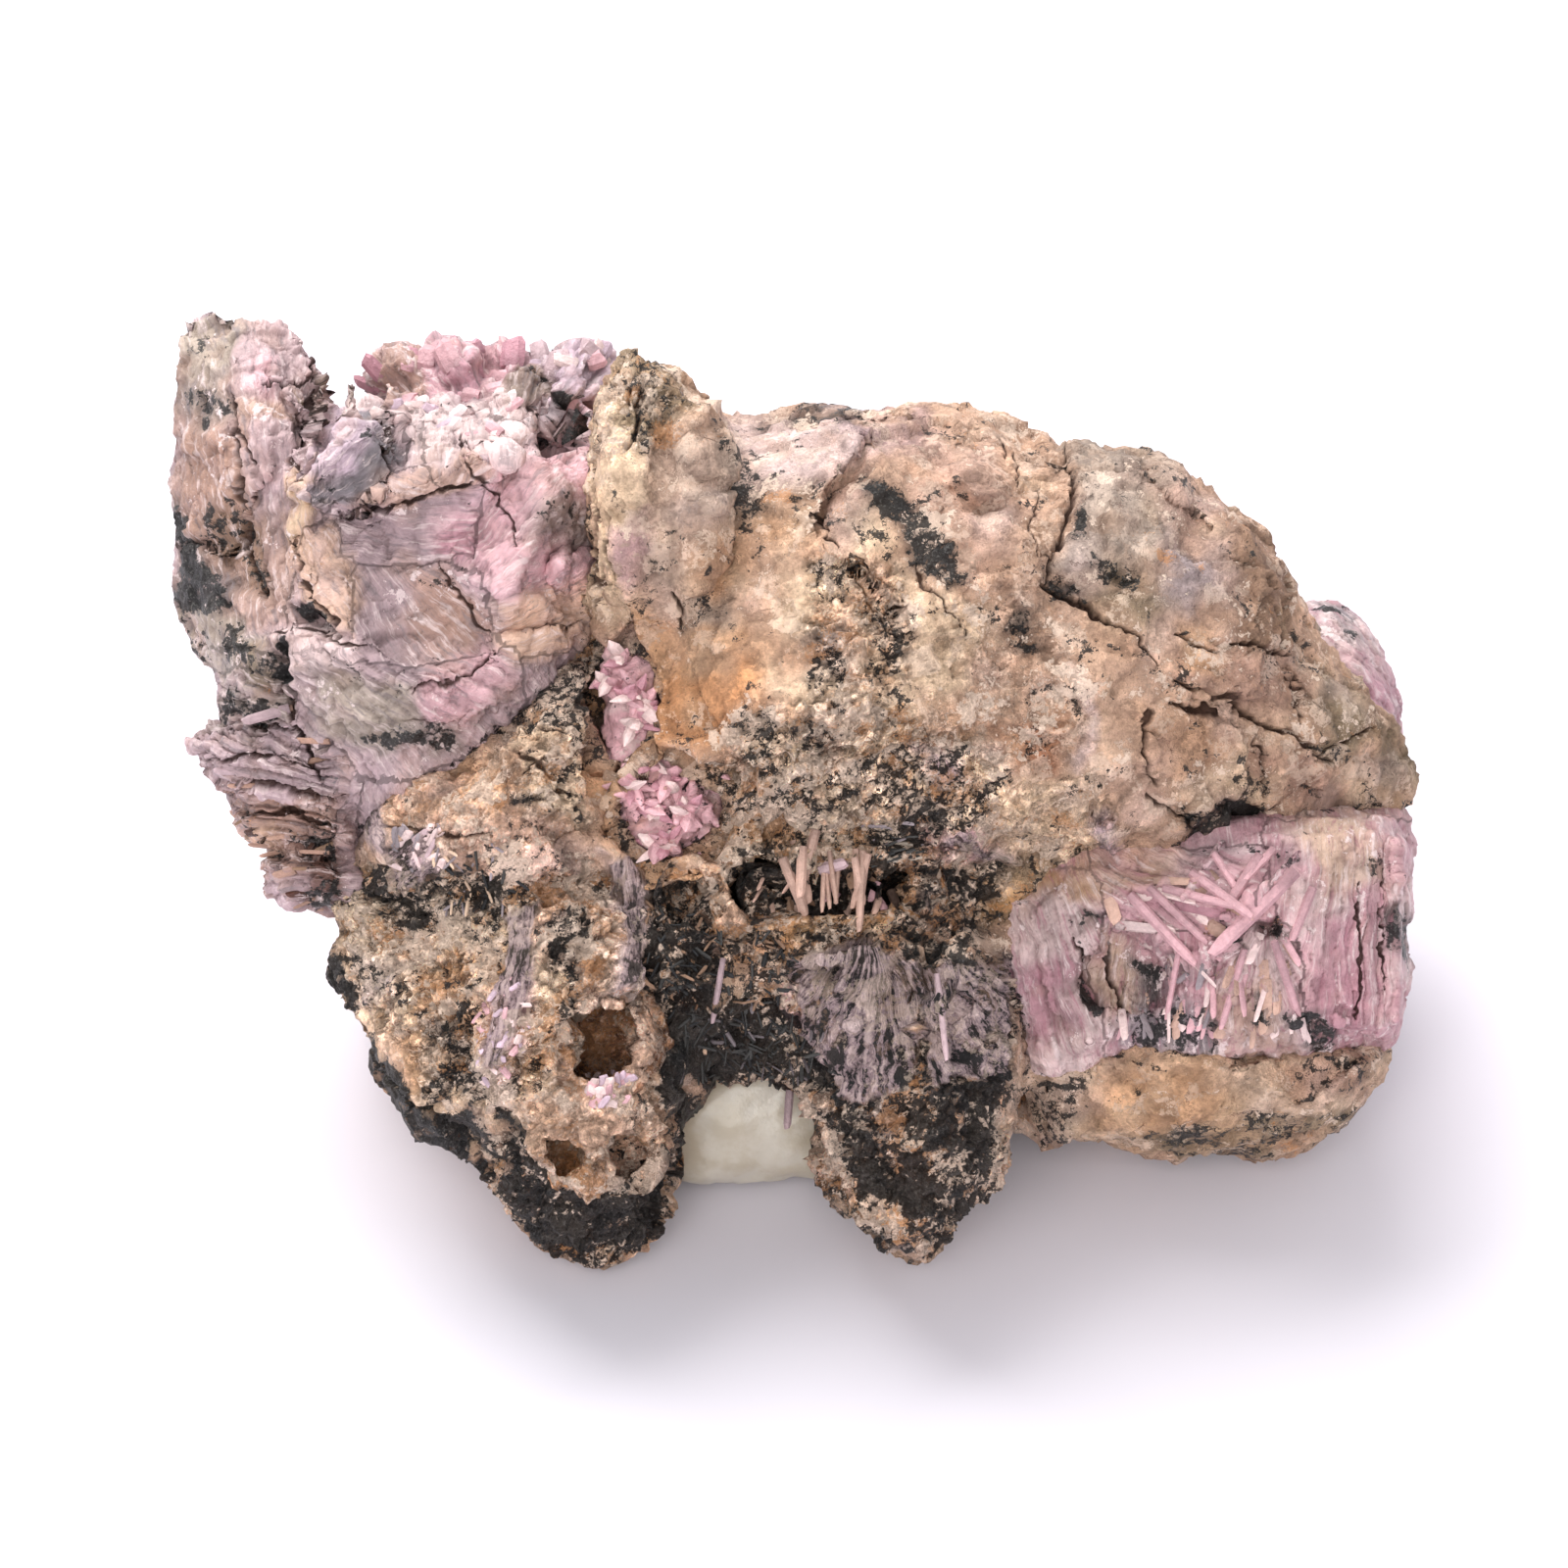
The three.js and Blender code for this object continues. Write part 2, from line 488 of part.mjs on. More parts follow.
// Fans of grey-pink blades that stand on the dark pyramid and along the black fringe; they are part of
// the rock
const ROCK_FANS = [
  { root: [9.4, -12.6, 14.8], length: 12.5, width: 1.6, thickness: 1.2, from: -76, to: -42, count: 3,
    lift: 3, seed: 1 },
  { root: [9, -13, 14.6], length: 8, width: 1.8, thickness: 1.3, from: 192, to: 240, count: 3,
    lift: 2, seed: 2 },
  { root: [14.6, -12, 13.8], length: 10.5, width: 1.6, thickness: 1.1, from: -100, to: -80, count: 2,
    lift: 3.4, seed: 3 },
  { root: [-2.8, -21.8, 9.6], length: 4.6, width: 1.5, thickness: 1.2, from: 245, to: 295, count: 2,
    lift: 0.4, seed: 7 },
];

// The hollows that are cut into the rock: an oval on the view plane, and the depths it is cut from and to
const HOLLOWS = [
  { at: [-12.8, 6.8], half: [2.7, 6.2], from: 26, to: 5 },
  { at: [-9.4, -2.4], half: [5.4, 5.2], from: 26, to: 6 },
  { at: [-2.2, -7.6], half: [2.2, 2.3], from: 26, to: 6 },
  { at: [2.8, -8.2], half: [2.5, 2], from: 26, to: 5.5 },
  { at: [8, -8.4], half: [2.3, 1.6], from: 26, to: 6 },
  { at: [-7.4, -9], half: [2.8, 2.6], from: 26, to: 7 },
  { at: [-15, -20.9], half: [2.9, 3.4], from: 26, to: 6 },
  { at: [-17.8, -30.2], half: [2.1, 1.6], from: 26, to: 8 },
  { at: [-12.6, -30.6], half: [1.9, 2.1], from: 26, to: 8 },
  { at: [-7.2, -14.4], half: [2.6, 1.8], from: 26, to: 10 },
  { at: [1.6, -15.4], half: [2.2, 1.7], from: 26, to: 11 },
  { at: [18.4, -19.4], half: [1.5, 4], from: 26, to: 11 },
];

function hollow({ at, half, from, to }, i) {
  const middle = (from + to) / 2;
  return lump({
    outline: oval(at, ...half),
    centre: [...at, middle], near: from - middle, far: middle - to, boxy: 2.6,
    rough: 0.6 + 0.1 * (i % 3), grain: 2.6, rings: [1, 1],
  });
}

// The notch in the front block below its points
const MASS_NOTCH = lump({
  outline: [[-22, 29.4], [-16.6, 31.4], [-17.6, 27], [-19.6, 25.6]],
  centre: [-19, 28.6, 12], near: 6, far: 5, rough: 0.2,
  rings: [1, 1],
});

// The crust that lines the middle hollow: a low base and bursts of crystals
const CRUST_BASE = lump({
  outline: [[-14.4, 12], [-10.8, 12], [-10, 6.6], [-10, 2.8], [-5.6, 1.6], [-4.6, -2.4], [-6, -6.4],
    [-10.2, -7.2], [-14, -5.4], [-14.6, 0], [-14.8, 6]],
  centre: [-11, 1.4, 7], near: 2.2, far: 1.6, boxy: 2.6, rough: 0.5, grain: 2.6, rings: [2, 1],
});

const CRUST_BURSTS = [
  { centre: [-12.5, 8.2, 7.6], size: 3, width: 1.6, count: 4, seed: 0.4 },
  { centre: [-12.4, 3.6, 7.8], size: 3, width: 1.6, count: 4, seed: 1.2 },
  { centre: [-11.6, -1.4, 8.6], size: 3.8, width: 1.9, count: 5, seed: 2 },
  { centre: [-7.4, -1.4, 8.6], size: 3.8, width: 1.9, count: 5, seed: 3.1 },
  { centre: [-9.4, -4.6, 8.2], size: 3.6, width: 1.9, count: 4, seed: 4.4 },
];

// The calcite lump behind the arch
const CALCITE = lump({
  outline: [[-8.6, -32.8], [-3, -32.2], [0, -31.8], [3.6, -32.4], [5.6, -28], [4, -23], [-4, -21.6],
    [-9.6, -24], [-10.6, -29]],
  centre: [-2.6, -27, -7.4], near: 4.6, far: 4.6, boxy: 2.6, lean: [0, 0.2],
  rough: 0.35, grain: 6, rings: [3, 2],
  chips: { count: 12, depth: 1 },
});

// The void of the arch in front of the calcite
const ARCH_VOID = lump({
  outline: [[-8, -34], [-7.8, -29], [-6.4, -25.4], [-5, -24], [-3.2, -24.2], [-0.6, -25.6],
    [1.8, -27.8], [2.1, -31], [1.6, -36], [-3, -40]],
  centre: [-3.4, -29.6, 10], near: 16, far: 12, boxy: 4, rough: 0.3, grain: 3, rings: [1, 1],
});

function placedBlade([root, tip, width, thickness], i) {
  return blade(onView(...root), onView(...tip), width, thickness, i);
}

const massPieces = [MASS_SLAB, MASS_BLOCK, MASS_KNOB, ...MASS_CREST.map(crestLump),
  ...MASS_PLATES.map(plate), ...MASS_POINTS.map(placedBlade)];
const veinPieces = [VEIN_FRONT, VEIN_BACK, ...VEIN_SHEAVES.flatMap(sheaf),
  ...VEIN_BLADES.map(placedBlade)];
const crustPieces = [CRUST_BASE, ...CRUST_BURSTS.flatMap(burst)];
const rockPieces = [TAN_CAP, TAN_PILLAR, LOWER_TAN_LEDGE, DARK_PYRAMID, LEFT_LOBE, MIDDLE, TAN_PATCH, CORE,
  BACK_SHOULDER, LEFT_FOOT, ...BACK_LEDGES.map(backLedge), ...ROCK_FANS.flatMap(fan)];
const underside = block(FLOOR_BLOCK, FLOOR_BLOCK, FLOOR_BLOCK, 0, 0, -FLOOR_BLOCK / 2);

const mass = largest(united(massPieces).subtract(solid(MASS_NOTCH)));
const vein = largest(united(veinPieces).subtract(solid(VEIN_HOLLOW)));
const crust = largest(united(crustPieces));
const calcite = largest(solid(CALCITE).subtract(underside));
const carved = united(rockPieces)
  .subtract(united(HOLLOWS.map(hollow)))
  .subtract(solid(ARCH_VOID))
  .subtract(united(massPieces, GROWTH))
  .subtract(united(veinPieces, GROWTH))
  .subtract(united(crustPieces, CRUST_GROWTH))
  .subtract(solid(CALCITE, GROWTH))
  .subtract(underside);
const matrix = largest(carved);

// Weathered colours of the minerals
const FINISHES = {
  matrix: { color: 0xa98c73, roughness: 0.9 },
  inesite_mass: { color: 0xa48d92, roughness: 0.8 },
  inesite_vein: { color: 0xcf9fae, roughness: 0.7 },
  vug_crystals: { color: 0xd9a3b8, roughness: 0.45 },
  calcite: { color: 0xcfc6b2, roughness: 0.35 },
};

function meshOf(name, body) {
  const { vertProperties, triVerts } = body.getMesh();
  const geometry = new THREE.BufferGeometry();
  geometry.setAttribute('position', new THREE.BufferAttribute(new Float32Array(vertProperties), 3));
  geometry.setIndex(new THREE.BufferAttribute(new Uint32Array(triVerts), 1));
  geometry.computeVertexNormals();
  const finish = new THREE.MeshStandardMaterial({ ...FINISHES[name], metalness: 0, flatShading: true });
  const mesh = new THREE.Mesh(geometry, finish);
  mesh.name = name;
  return mesh;
}

const specimen = new THREE.Group();
Object.entries({ matrix, inesite_mass: mass, inesite_vein: vein, vug_crystals: crust, calcite })
  .forEach(([name, body]) => specimen.add(meshOf(name, body)));

export default specimen;
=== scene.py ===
"""An inesite specimen: tan host rock, a grey-pink mass, a pink bladed vein, a crystal hollow and calcite."""

import math

import bpy
import numpy as np
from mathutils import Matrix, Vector
from mathutils.bvhtree import BVHTree


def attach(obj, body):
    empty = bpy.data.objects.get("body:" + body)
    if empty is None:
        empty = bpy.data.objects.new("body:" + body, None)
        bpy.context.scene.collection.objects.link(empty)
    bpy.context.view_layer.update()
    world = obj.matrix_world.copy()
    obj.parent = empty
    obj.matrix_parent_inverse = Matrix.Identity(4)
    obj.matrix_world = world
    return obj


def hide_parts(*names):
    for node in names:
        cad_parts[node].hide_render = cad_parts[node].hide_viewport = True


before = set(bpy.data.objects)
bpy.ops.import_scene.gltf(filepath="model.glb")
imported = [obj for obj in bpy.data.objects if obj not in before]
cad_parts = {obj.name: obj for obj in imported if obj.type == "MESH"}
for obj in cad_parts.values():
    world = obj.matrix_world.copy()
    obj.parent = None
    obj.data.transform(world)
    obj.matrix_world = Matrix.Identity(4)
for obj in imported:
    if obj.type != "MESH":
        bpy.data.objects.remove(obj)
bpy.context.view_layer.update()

# The eye, and the drawing plane through the specimen's middle, in millimetres
VIEW_ELEVATION = math.radians(40)
VIEW_DISTANCE = 450.0
DRAWING_CENTRE = np.array([-1.05, -2.9, 32.0])
DRAWING_SIZE = 1600
DRAWING_MIDDLE = DRAWING_SIZE / 2
PIXEL = 0.08
SENSOR = 36.0
MM = 0.001
RIGHT = np.array([1.0, 0.0, 0.0])
UP = np.array([0.0, math.sin(VIEW_ELEVATION), math.cos(VIEW_ELEVATION)])
TO_EYE = np.array([0.0, -math.cos(VIEW_ELEVATION), math.sin(VIEW_ELEVATION)])
EYE = DRAWING_CENTRE + VIEW_DISTANCE * TO_EYE

# Grain of the meshes, in millimetres
ROCK_GRAIN = 0.62
MASS_GRAIN = 0.55
VEIN_GRAIN = 0.5
CRUST_GRAIN = 0.3
CALCITE_GRAIN = 0.7

# The most triangles of one piece
MOST_TRIANGLES = 196000

# In millimetres: how far the dirt of a seam reaches, the lowest point over the floor, and the start of a line
# of sight over the surface
SEAM_REACH = 2.2
FLOOR_GAP = 0.02
SIGHT_START = 0.35

# How far a blade may reach past its outline, in pixels
BLADE_OVERHANG = 3

# How far each crystal of a burst is turned from the one before it, in radians
GOLDEN_ANGLE = 2.39996

# A distance that nothing reaches, and a length that keeps a division whole
FAR = 1e9
TINY = 1e-9


# Random fields in space

def scrambled(x, y, z, seed):
    """One fixed number from 0 to 1 for every cell of a lattice."""
    code = (x * 73856093) ^ (y * 19349663) ^ (z * 83492791) ^ (seed * 40503 + 12345)
    code = (code & 0xFFFFFFFF).astype(np.uint64)
    code = ((code ^ (code >> np.uint64(16))) * np.uint64(0x45D9F3B)) & np.uint64(0xFFFFFFFF)
    code = ((code ^ (code >> np.uint64(16))) * np.uint64(0x45D9F3B)) & np.uint64(0xFFFFFFFF)
    code = code ^ (code >> np.uint64(16))
    return code.astype(np.float64) / 4294967295.0


def noise(points, size, seed):
    """Smooth noise from about -1 to 1 with features of one size."""
    q = points / size + seed * 17.31
    cell = np.floor(q).astype(np.int64)
    f = q - cell
    s = f * f * f * (f * (f * 6 - 15) + 10)
    total = np.zeros(len(points))
    for dx in (0, 1):
        for dy in (0, 1):
            for dz in (0, 1):
                x, y, z = cell[:, 0] + dx, cell[:, 1] + dy, cell[:, 2] + dz
                gx = scrambled(x, y, z, seed) * 2 - 1
                gy = scrambled(x, y, z, seed + 101) * 2 - 1
                gz = scrambled(x, y, z, seed + 202) * 2 - 1
                corner = gx * (f[:, 0] - dx) + gy * (f[:, 1] - dy) + gz * (f[:, 2] - dz)
                share = (s[:, 0] if dx else 1 - s[:, 0]) * (s[:, 1] if dy else 1 - s[:, 1])
                total += corner * share * (s[:, 2] if dz else 1 - s[:, 2])
    return total * 1.9


def fractal(points, size, seed, octaves=3):
    """Noise with finer and finer layers."""
    total = np.zeros(len(points))
    for k in range(octaves):
        total += noise(points, size / 2 ** k, seed + 7 * k) / 2 ** k
    return total / 1.5


def cells(points, size, seed):
    """Angular cells: how far in from the border, a tilted face for each cell, and the cell's own number."""
    q = points / size + seed * 5.17
    cell = np.floor(q).astype(np.int64)
    first = np.full(len(points), 9.0)
    second = np.full(len(points), 9.0)
    own = np.zeros(len(points))
    tilt = np.zeros(len(points))
    for dx in (-1, 0, 1):
        for dy in (-1, 0, 1):
            for dz in (-1, 0, 1):
                x, y, z = cell[:, 0] + dx, cell[:, 1] + dy, cell[:, 2] + dz
                h = scrambled(x, y, z, seed)
                h2 = scrambled(x, y, z, seed + 31)
                h3 = (h * 7919.0 + h2 * 104.7) % 1.0
                ox = q[:, 0] - x - 0.1 - 0.8 * h
                oy = q[:, 1] - y - 0.1 - 0.8 * h2
                oz = q[:, 2] - z - 0.1 - 0.8 * h3
                away = ox * ox + oy * oy + oz * oz
                near = away < first
                second = np.where(near, first, np.minimum(second, away))
                number = (h * 53.7 + h3 * 11.3) % 1.0
                own = np.where(near, number, own)
                slope = ox * (h2 - 0.5) + oy * (h3 - 0.5) + oz * (h - 0.5)
                tilt = np.where(near, slope, tilt)
                first = np.where(near, away, first)
    return np.sqrt(second) - np.sqrt(first), tilt, own


def smooth(low, high, value):
    """0 below low, 1 above high, and a soft rise between."""
    t = np.clip((value - low) / (high - low), 0, 1)
    return t * t * (3 - 2 * t)


# The drawing: where a point lies in the picture's 1600 pixels, and shapes drawn there

def drawn(points):
    """Across, down and towards the eye, the first two in the drawing's pixels."""
    away = points - DRAWING_CENTRE
    toward = away @ TO_EYE
    near = (VIEW_DISTANCE - toward) / VIEW_DISTANCE
    across = DRAWING_MIDDLE + away @ RIGHT / near / PIXEL
    down = DRAWING_MIDDLE - away @ UP / near / PIXEL
    return across, down, toward


def off_segment(x, y, a, b):
    """How far along a drawn segment its nearest place lies, from 0 to 1, and how far away that is."""
    (ax, ay), (bx, by) = a, b
    ex, ey = bx - ax, by - ay
    t = np.clip(((x - ax) * ex + (y - ay) * ey) / (ex * ex + ey * ey + TINY), 0, 1)
    return t, np.hypot(x - ax - t * ex, y - ay - t * ey)


def inside_by(x, y, outline):
    """How far inside a closed outline, in pixels; negative outside."""
    nearest = np.full(len(x), FAR)
    inside = np.zeros(len(x), bool)
    for (ax, ay), (bx, by) in zip(outline, outline[1:] + outline[:1]):
        nearest = np.minimum(nearest, off_segment(x, y, (ax, ay), (bx, by))[1])
        inside ^= ((ay > y) != (by > y)) & (x < (bx - ax) * (y - ay) / (by - ay + TINY) + ax)
    return np.where(inside, nearest, -nearest)


def from_line(x, y, line):
    """How far from an open line, in pixels, and how far along it from 0 to 1."""
    nearest = np.full(len(x), FAR)
    along = np.zeros(len(x))
    pairs = list(zip(line[:-1], line[1:]))
    for k, (a, b) in enumerate(pairs):
        t, away = off_segment(x, y, a, b)
        along = np.where(away < nearest, (k + t) / len(pairs), along)
        nearest = np.minimum(nearest, away)
    return nearest, along


def close_by(x, y, line, margin):
    """True in the box round a drawn line, with a margin in pixels."""
    left, top = np.min(line, axis=0) - margin
    right, bottom = np.max(line, axis=0) + margin
    return (x > left) & (x < right) & (y > top) & (y < bottom)


def within(x, y, outline, soft):
    """1 inside a drawn outline and 0 outside, with a soft border."""
    weight = np.zeros(len(x))
    near = close_by(x, y, outline, soft)
    if near.any():
        weight[near] = smooth(-soft, soft, inside_by(x[near], y[near], outline))
    return weight


def along_line(x, y, line, width):
    """1 on a drawn line and 0 away from it; the line runs out thin at both ends."""
    weight = np.zeros(len(x))
    near = close_by(x, y, line, width)
    if near.any():
        away, along = from_line(x[near], y[near], line)
        taper = 0.35 + 0.65 * np.sqrt(np.clip(4 * along * (1 - along), 0, 1))
        weight[near] = 1 - smooth(0.35, 1.0, away / (width * taper))
    return weight


# Meshes as arrays of points and triangles, in millimetres

def fine_mesh(node, grain):
    """A close, even copy of a CAD piece's surface."""
    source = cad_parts[node]
    copy = bpy.data.objects.new("fine_" + node, source.data.copy())
    bpy.context.scene.collection.objects.link(copy)
    copy.matrix_world = source.matrix_world
    weld = copy.modifiers.new("weld", "WELD")
    weld.merge_threshold = 1e-6
    remesh = copy.modifiers.new("remesh", "REMESH")
    remesh.mode = "VOXEL"
    remesh.voxel_size = grain * MM
    remesh.adaptivity = 0
    shown = copy.evaluated_get(bpy.context.evaluated_depsgraph_get())
    mesh = shown.to_mesh()
    mesh.calc_loop_triangles()
    points = np.empty(len(mesh.vertices) * 3)
    mesh.vertices.foreach_get("co", points)
    triangles = np.empty(len(mesh.loop_triangles) * 3, dtype=np.int64)
    mesh.loop_triangles.foreach_get("vertices", triangles)
    shown.to_mesh_clear()
    world = np.array(copy.matrix_world)
    data = copy.data
    bpy.data.objects.remove(copy)
    bpy.data.meshes.remove(data)
    points = points.reshape(-1, 3) @ world[:3, :3].T + world[:3, 3]
    return points / MM, triangles.reshape(-1, 3)


def edges_of(triangles):
    """Each side once as a pair of points, and for every triangle the numbers of its three sides."""
    sides = np.sort(triangles[:, [0, 1, 1, 2, 2, 0]].reshape(-1, 2), axis=1)
    top = int(triangles.max()) + 1
    codes, which = np.unique(sides[:, 0] * top + sides[:, 1], return_inverse=True)
    return np.stack([codes // top, codes % top], axis=1), which.reshape(-1, 3)


def relaxed(points, triangles, rounds, share=0.5):
    """The points drawn towards the middle of their neighbours."""
    edges, _ = edges_of(triangles)
    count = np.bincount(edges.ravel(), minlength=len(points))[:, None]
    for _ in range(rounds):
        total = np.zeros_like(points)
        for k in range(points.shape[1]):
            total[:, k] = np.bincount(edges[:, 0], weights=points[edges[:, 1], k], minlength=len(points))
            total[:, k] += np.bincount(edges[:, 1], weights=points[edges[:, 0], k], minlength=len(points))
        points = points + share * (total / np.maximum(count, 1) - points)
    return points


def normals_of(points, triangles):
    """The direction out of the surface at every point."""
    a, b, c = (points[triangles[:, k]] for k in range(3))
    face = np.cross(b - a, c - a)
    total = np.zeros_like(points)
    for k in range(3):
        for axis in range(3):
            total[:, axis] += np.bincount(triangles[:, k], weights=face[:, axis], minlength=len(points))
    return total / np.maximum(np.linalg.norm(total, axis=1), 1e-12)[:, None]


# The parts that a triangle falls into, by how many of its sides are cut: corners 0 to 2, middles 3 to 5
CUT_PARTS = {0: ("012",), 1: ("032", "312"), 2: ("314", "034", "042"), 3: ("035", "314", "542", "345")}


def refined(points, triangles, chosen):
    """The mesh with each chosen triangle cut into four, and its neighbours cut so that they meet it."""
    edges, sides = edges_of(triangles)
    cut = np.zeros(len(edges), bool)
    cut[sides[chosen].ravel()] = True
    middle = np.full(len(edges), -1)
    middle[cut] = len(points) + np.arange(cut.sum())
    points = np.vstack([points, points[edges[cut]].mean(axis=1)])
    middles = middle[sides]
    number = (middles >= 0).sum(axis=1)
    turn = np.zeros(len(triangles), dtype=np.int64)
    turn[number == 1] = np.argmax(middles[number == 1] >= 0, axis=1)
    turn[number == 2] = (np.argmax(middles[number == 2] < 0, axis=1) + 1) % 3
    order = (np.arange(3)[None, :] + turn[:, None]) % 3
    six = np.hstack([np.take_along_axis(each, order, axis=1) for each in (triangles, middles)])
    parts = []
    for cuts, corners in CUT_PARTS.items():
        parts += [six[number == cuts][:, [int(corner) for corner in part]] for part in corners]
    return points, np.vstack(parts)


def tree_of(meshes):
    """One search tree over several meshes."""
    points = []
    triangles = []
    start = 0
    for mesh_points, mesh_triangles in meshes:
        points += mesh_points.tolist()
        triangles += (mesh_triangles + start).tolist()
        start += len(mesh_points)
    return BVHTree.FromPolygons(points, triangles)


def seen(points, normals, tree):
    """True where a point faces the eye with nothing in front of it."""
    facing = (normals * (EYE - points)).sum(axis=1) > 0
    result = np.zeros(len(points), bool)
    for k in np.nonzero(facing)[0]:
        start = Vector(points[k] + normals[k] * SIGHT_START)
        hit = tree.ray_cast(start, Vector(EYE) - start)
        result[k] = hit[0] is None
    return result


def linear(code):
    """A colour from its six-figure code, as the three amounts of light."""
    parts = [int(code[k:k + 2], 16) / 255 for k in (0, 2, 4)]
    return np.array([v / 12.92 if v <= 0.04045 else ((v + 0.055) / 1.055) ** 2.4 for v in parts])


def thinned(piece, share):
    """The piece left with this share of its triangles, the fewest where it is flattest."""
    step = piece.modifiers.new("thinner", "DECIMATE")
    step.ratio = share
    shown = piece.evaluated_get(bpy.context.evaluated_depsgraph_get())
    full = piece.data
    mesh = bpy.data.meshes.new_from_object(shown)
    piece.modifiers.clear()
    piece.data = mesh
    bpy.data.meshes.remove(full)
    mesh.name = piece.name


def make(name, node, points, triangles, layers, material, flat=False):
    """A shown piece from arrays, with its colour layers."""
    mesh = bpy.data.meshes.new(name)
    mesh.vertices.add(len(points))
    mesh.vertices.foreach_set("co", (points * MM).ravel())
    mesh.loops.add(len(triangles) * 3)
    mesh.loops.foreach_set("vertex_index", triangles.ravel().astype(np.int32))
    mesh.polygons.add(len(triangles))
    mesh.polygons.foreach_set("loop_start", np.arange(0, len(triangles) * 3, 3, dtype=np.int32))
    mesh.polygons.foreach_set("use_smooth", np.full(len(triangles), not flat))
    mesh.update(calc_edges=True)
    for layer, values in layers.items():
        attribute = mesh.attributes.new(layer, "FLOAT_COLOR", "POINT")
        full = np.ones((len(points), 4))
        full[:, :values.shape[1]] = values
        attribute.data.foreach_set("color", full.ravel())
    mesh.materials.append(material)
    piece = bpy.data.objects.new(name, mesh)
    bpy.context.scene.collection.objects.link(piece)
    if len(triangles) > MOST_TRIANGLES:
        thinned(piece, MOST_TRIANGLES / len(triangles))
    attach(piece, "root")
    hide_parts(node)
    return piece


# Colours of the minerals

TAN = linear("c5a18a")
PALE_TAN = linear("d7baa2")
CREAM = linear("eecfb0")
PALE_CREAM = linear("f8dcc0")
BONE = linear("f7ddca")
OCHRE = linear("d3a37c")
ORANGE = linear("cc9060")
RUST = linear("9a6040")
DARK_RUST = linear("4a2618")
BROWN = linear("8c6e5a")
PINK_BROWN = linear("ac8878")
ROSY_TAN = linear("c9a596")
BROWN_TAN = linear("b08a70")
WARM_GREY = linear("bea697")
OLIVE = linear("80705a")
SLAB_GREY = linear("b3a598")
GREY_GREEN = linear("8f8279")
BLACK = linear("232325")
CHARCOAL = linear("3a3938")
GREY_MAUVE = linear("978b90")
BLUE_GREY = linear("7d7c82")
MAUVE = linear("b89ca6")
SOFT_MAUVE = linear("bfa5aa")
LILAC = linear("c9b0be")
PINK = linear("d2a5ac")
PALE_PINK = linear("e4cac8")
WHITE_PINK = linear("f0dcdc")
SOFT_ROSE = linear("bc8a96")
ROSE = linear("b97c8c")
PEACH = linear("deb79e")
HONEY = linear("b98f60")

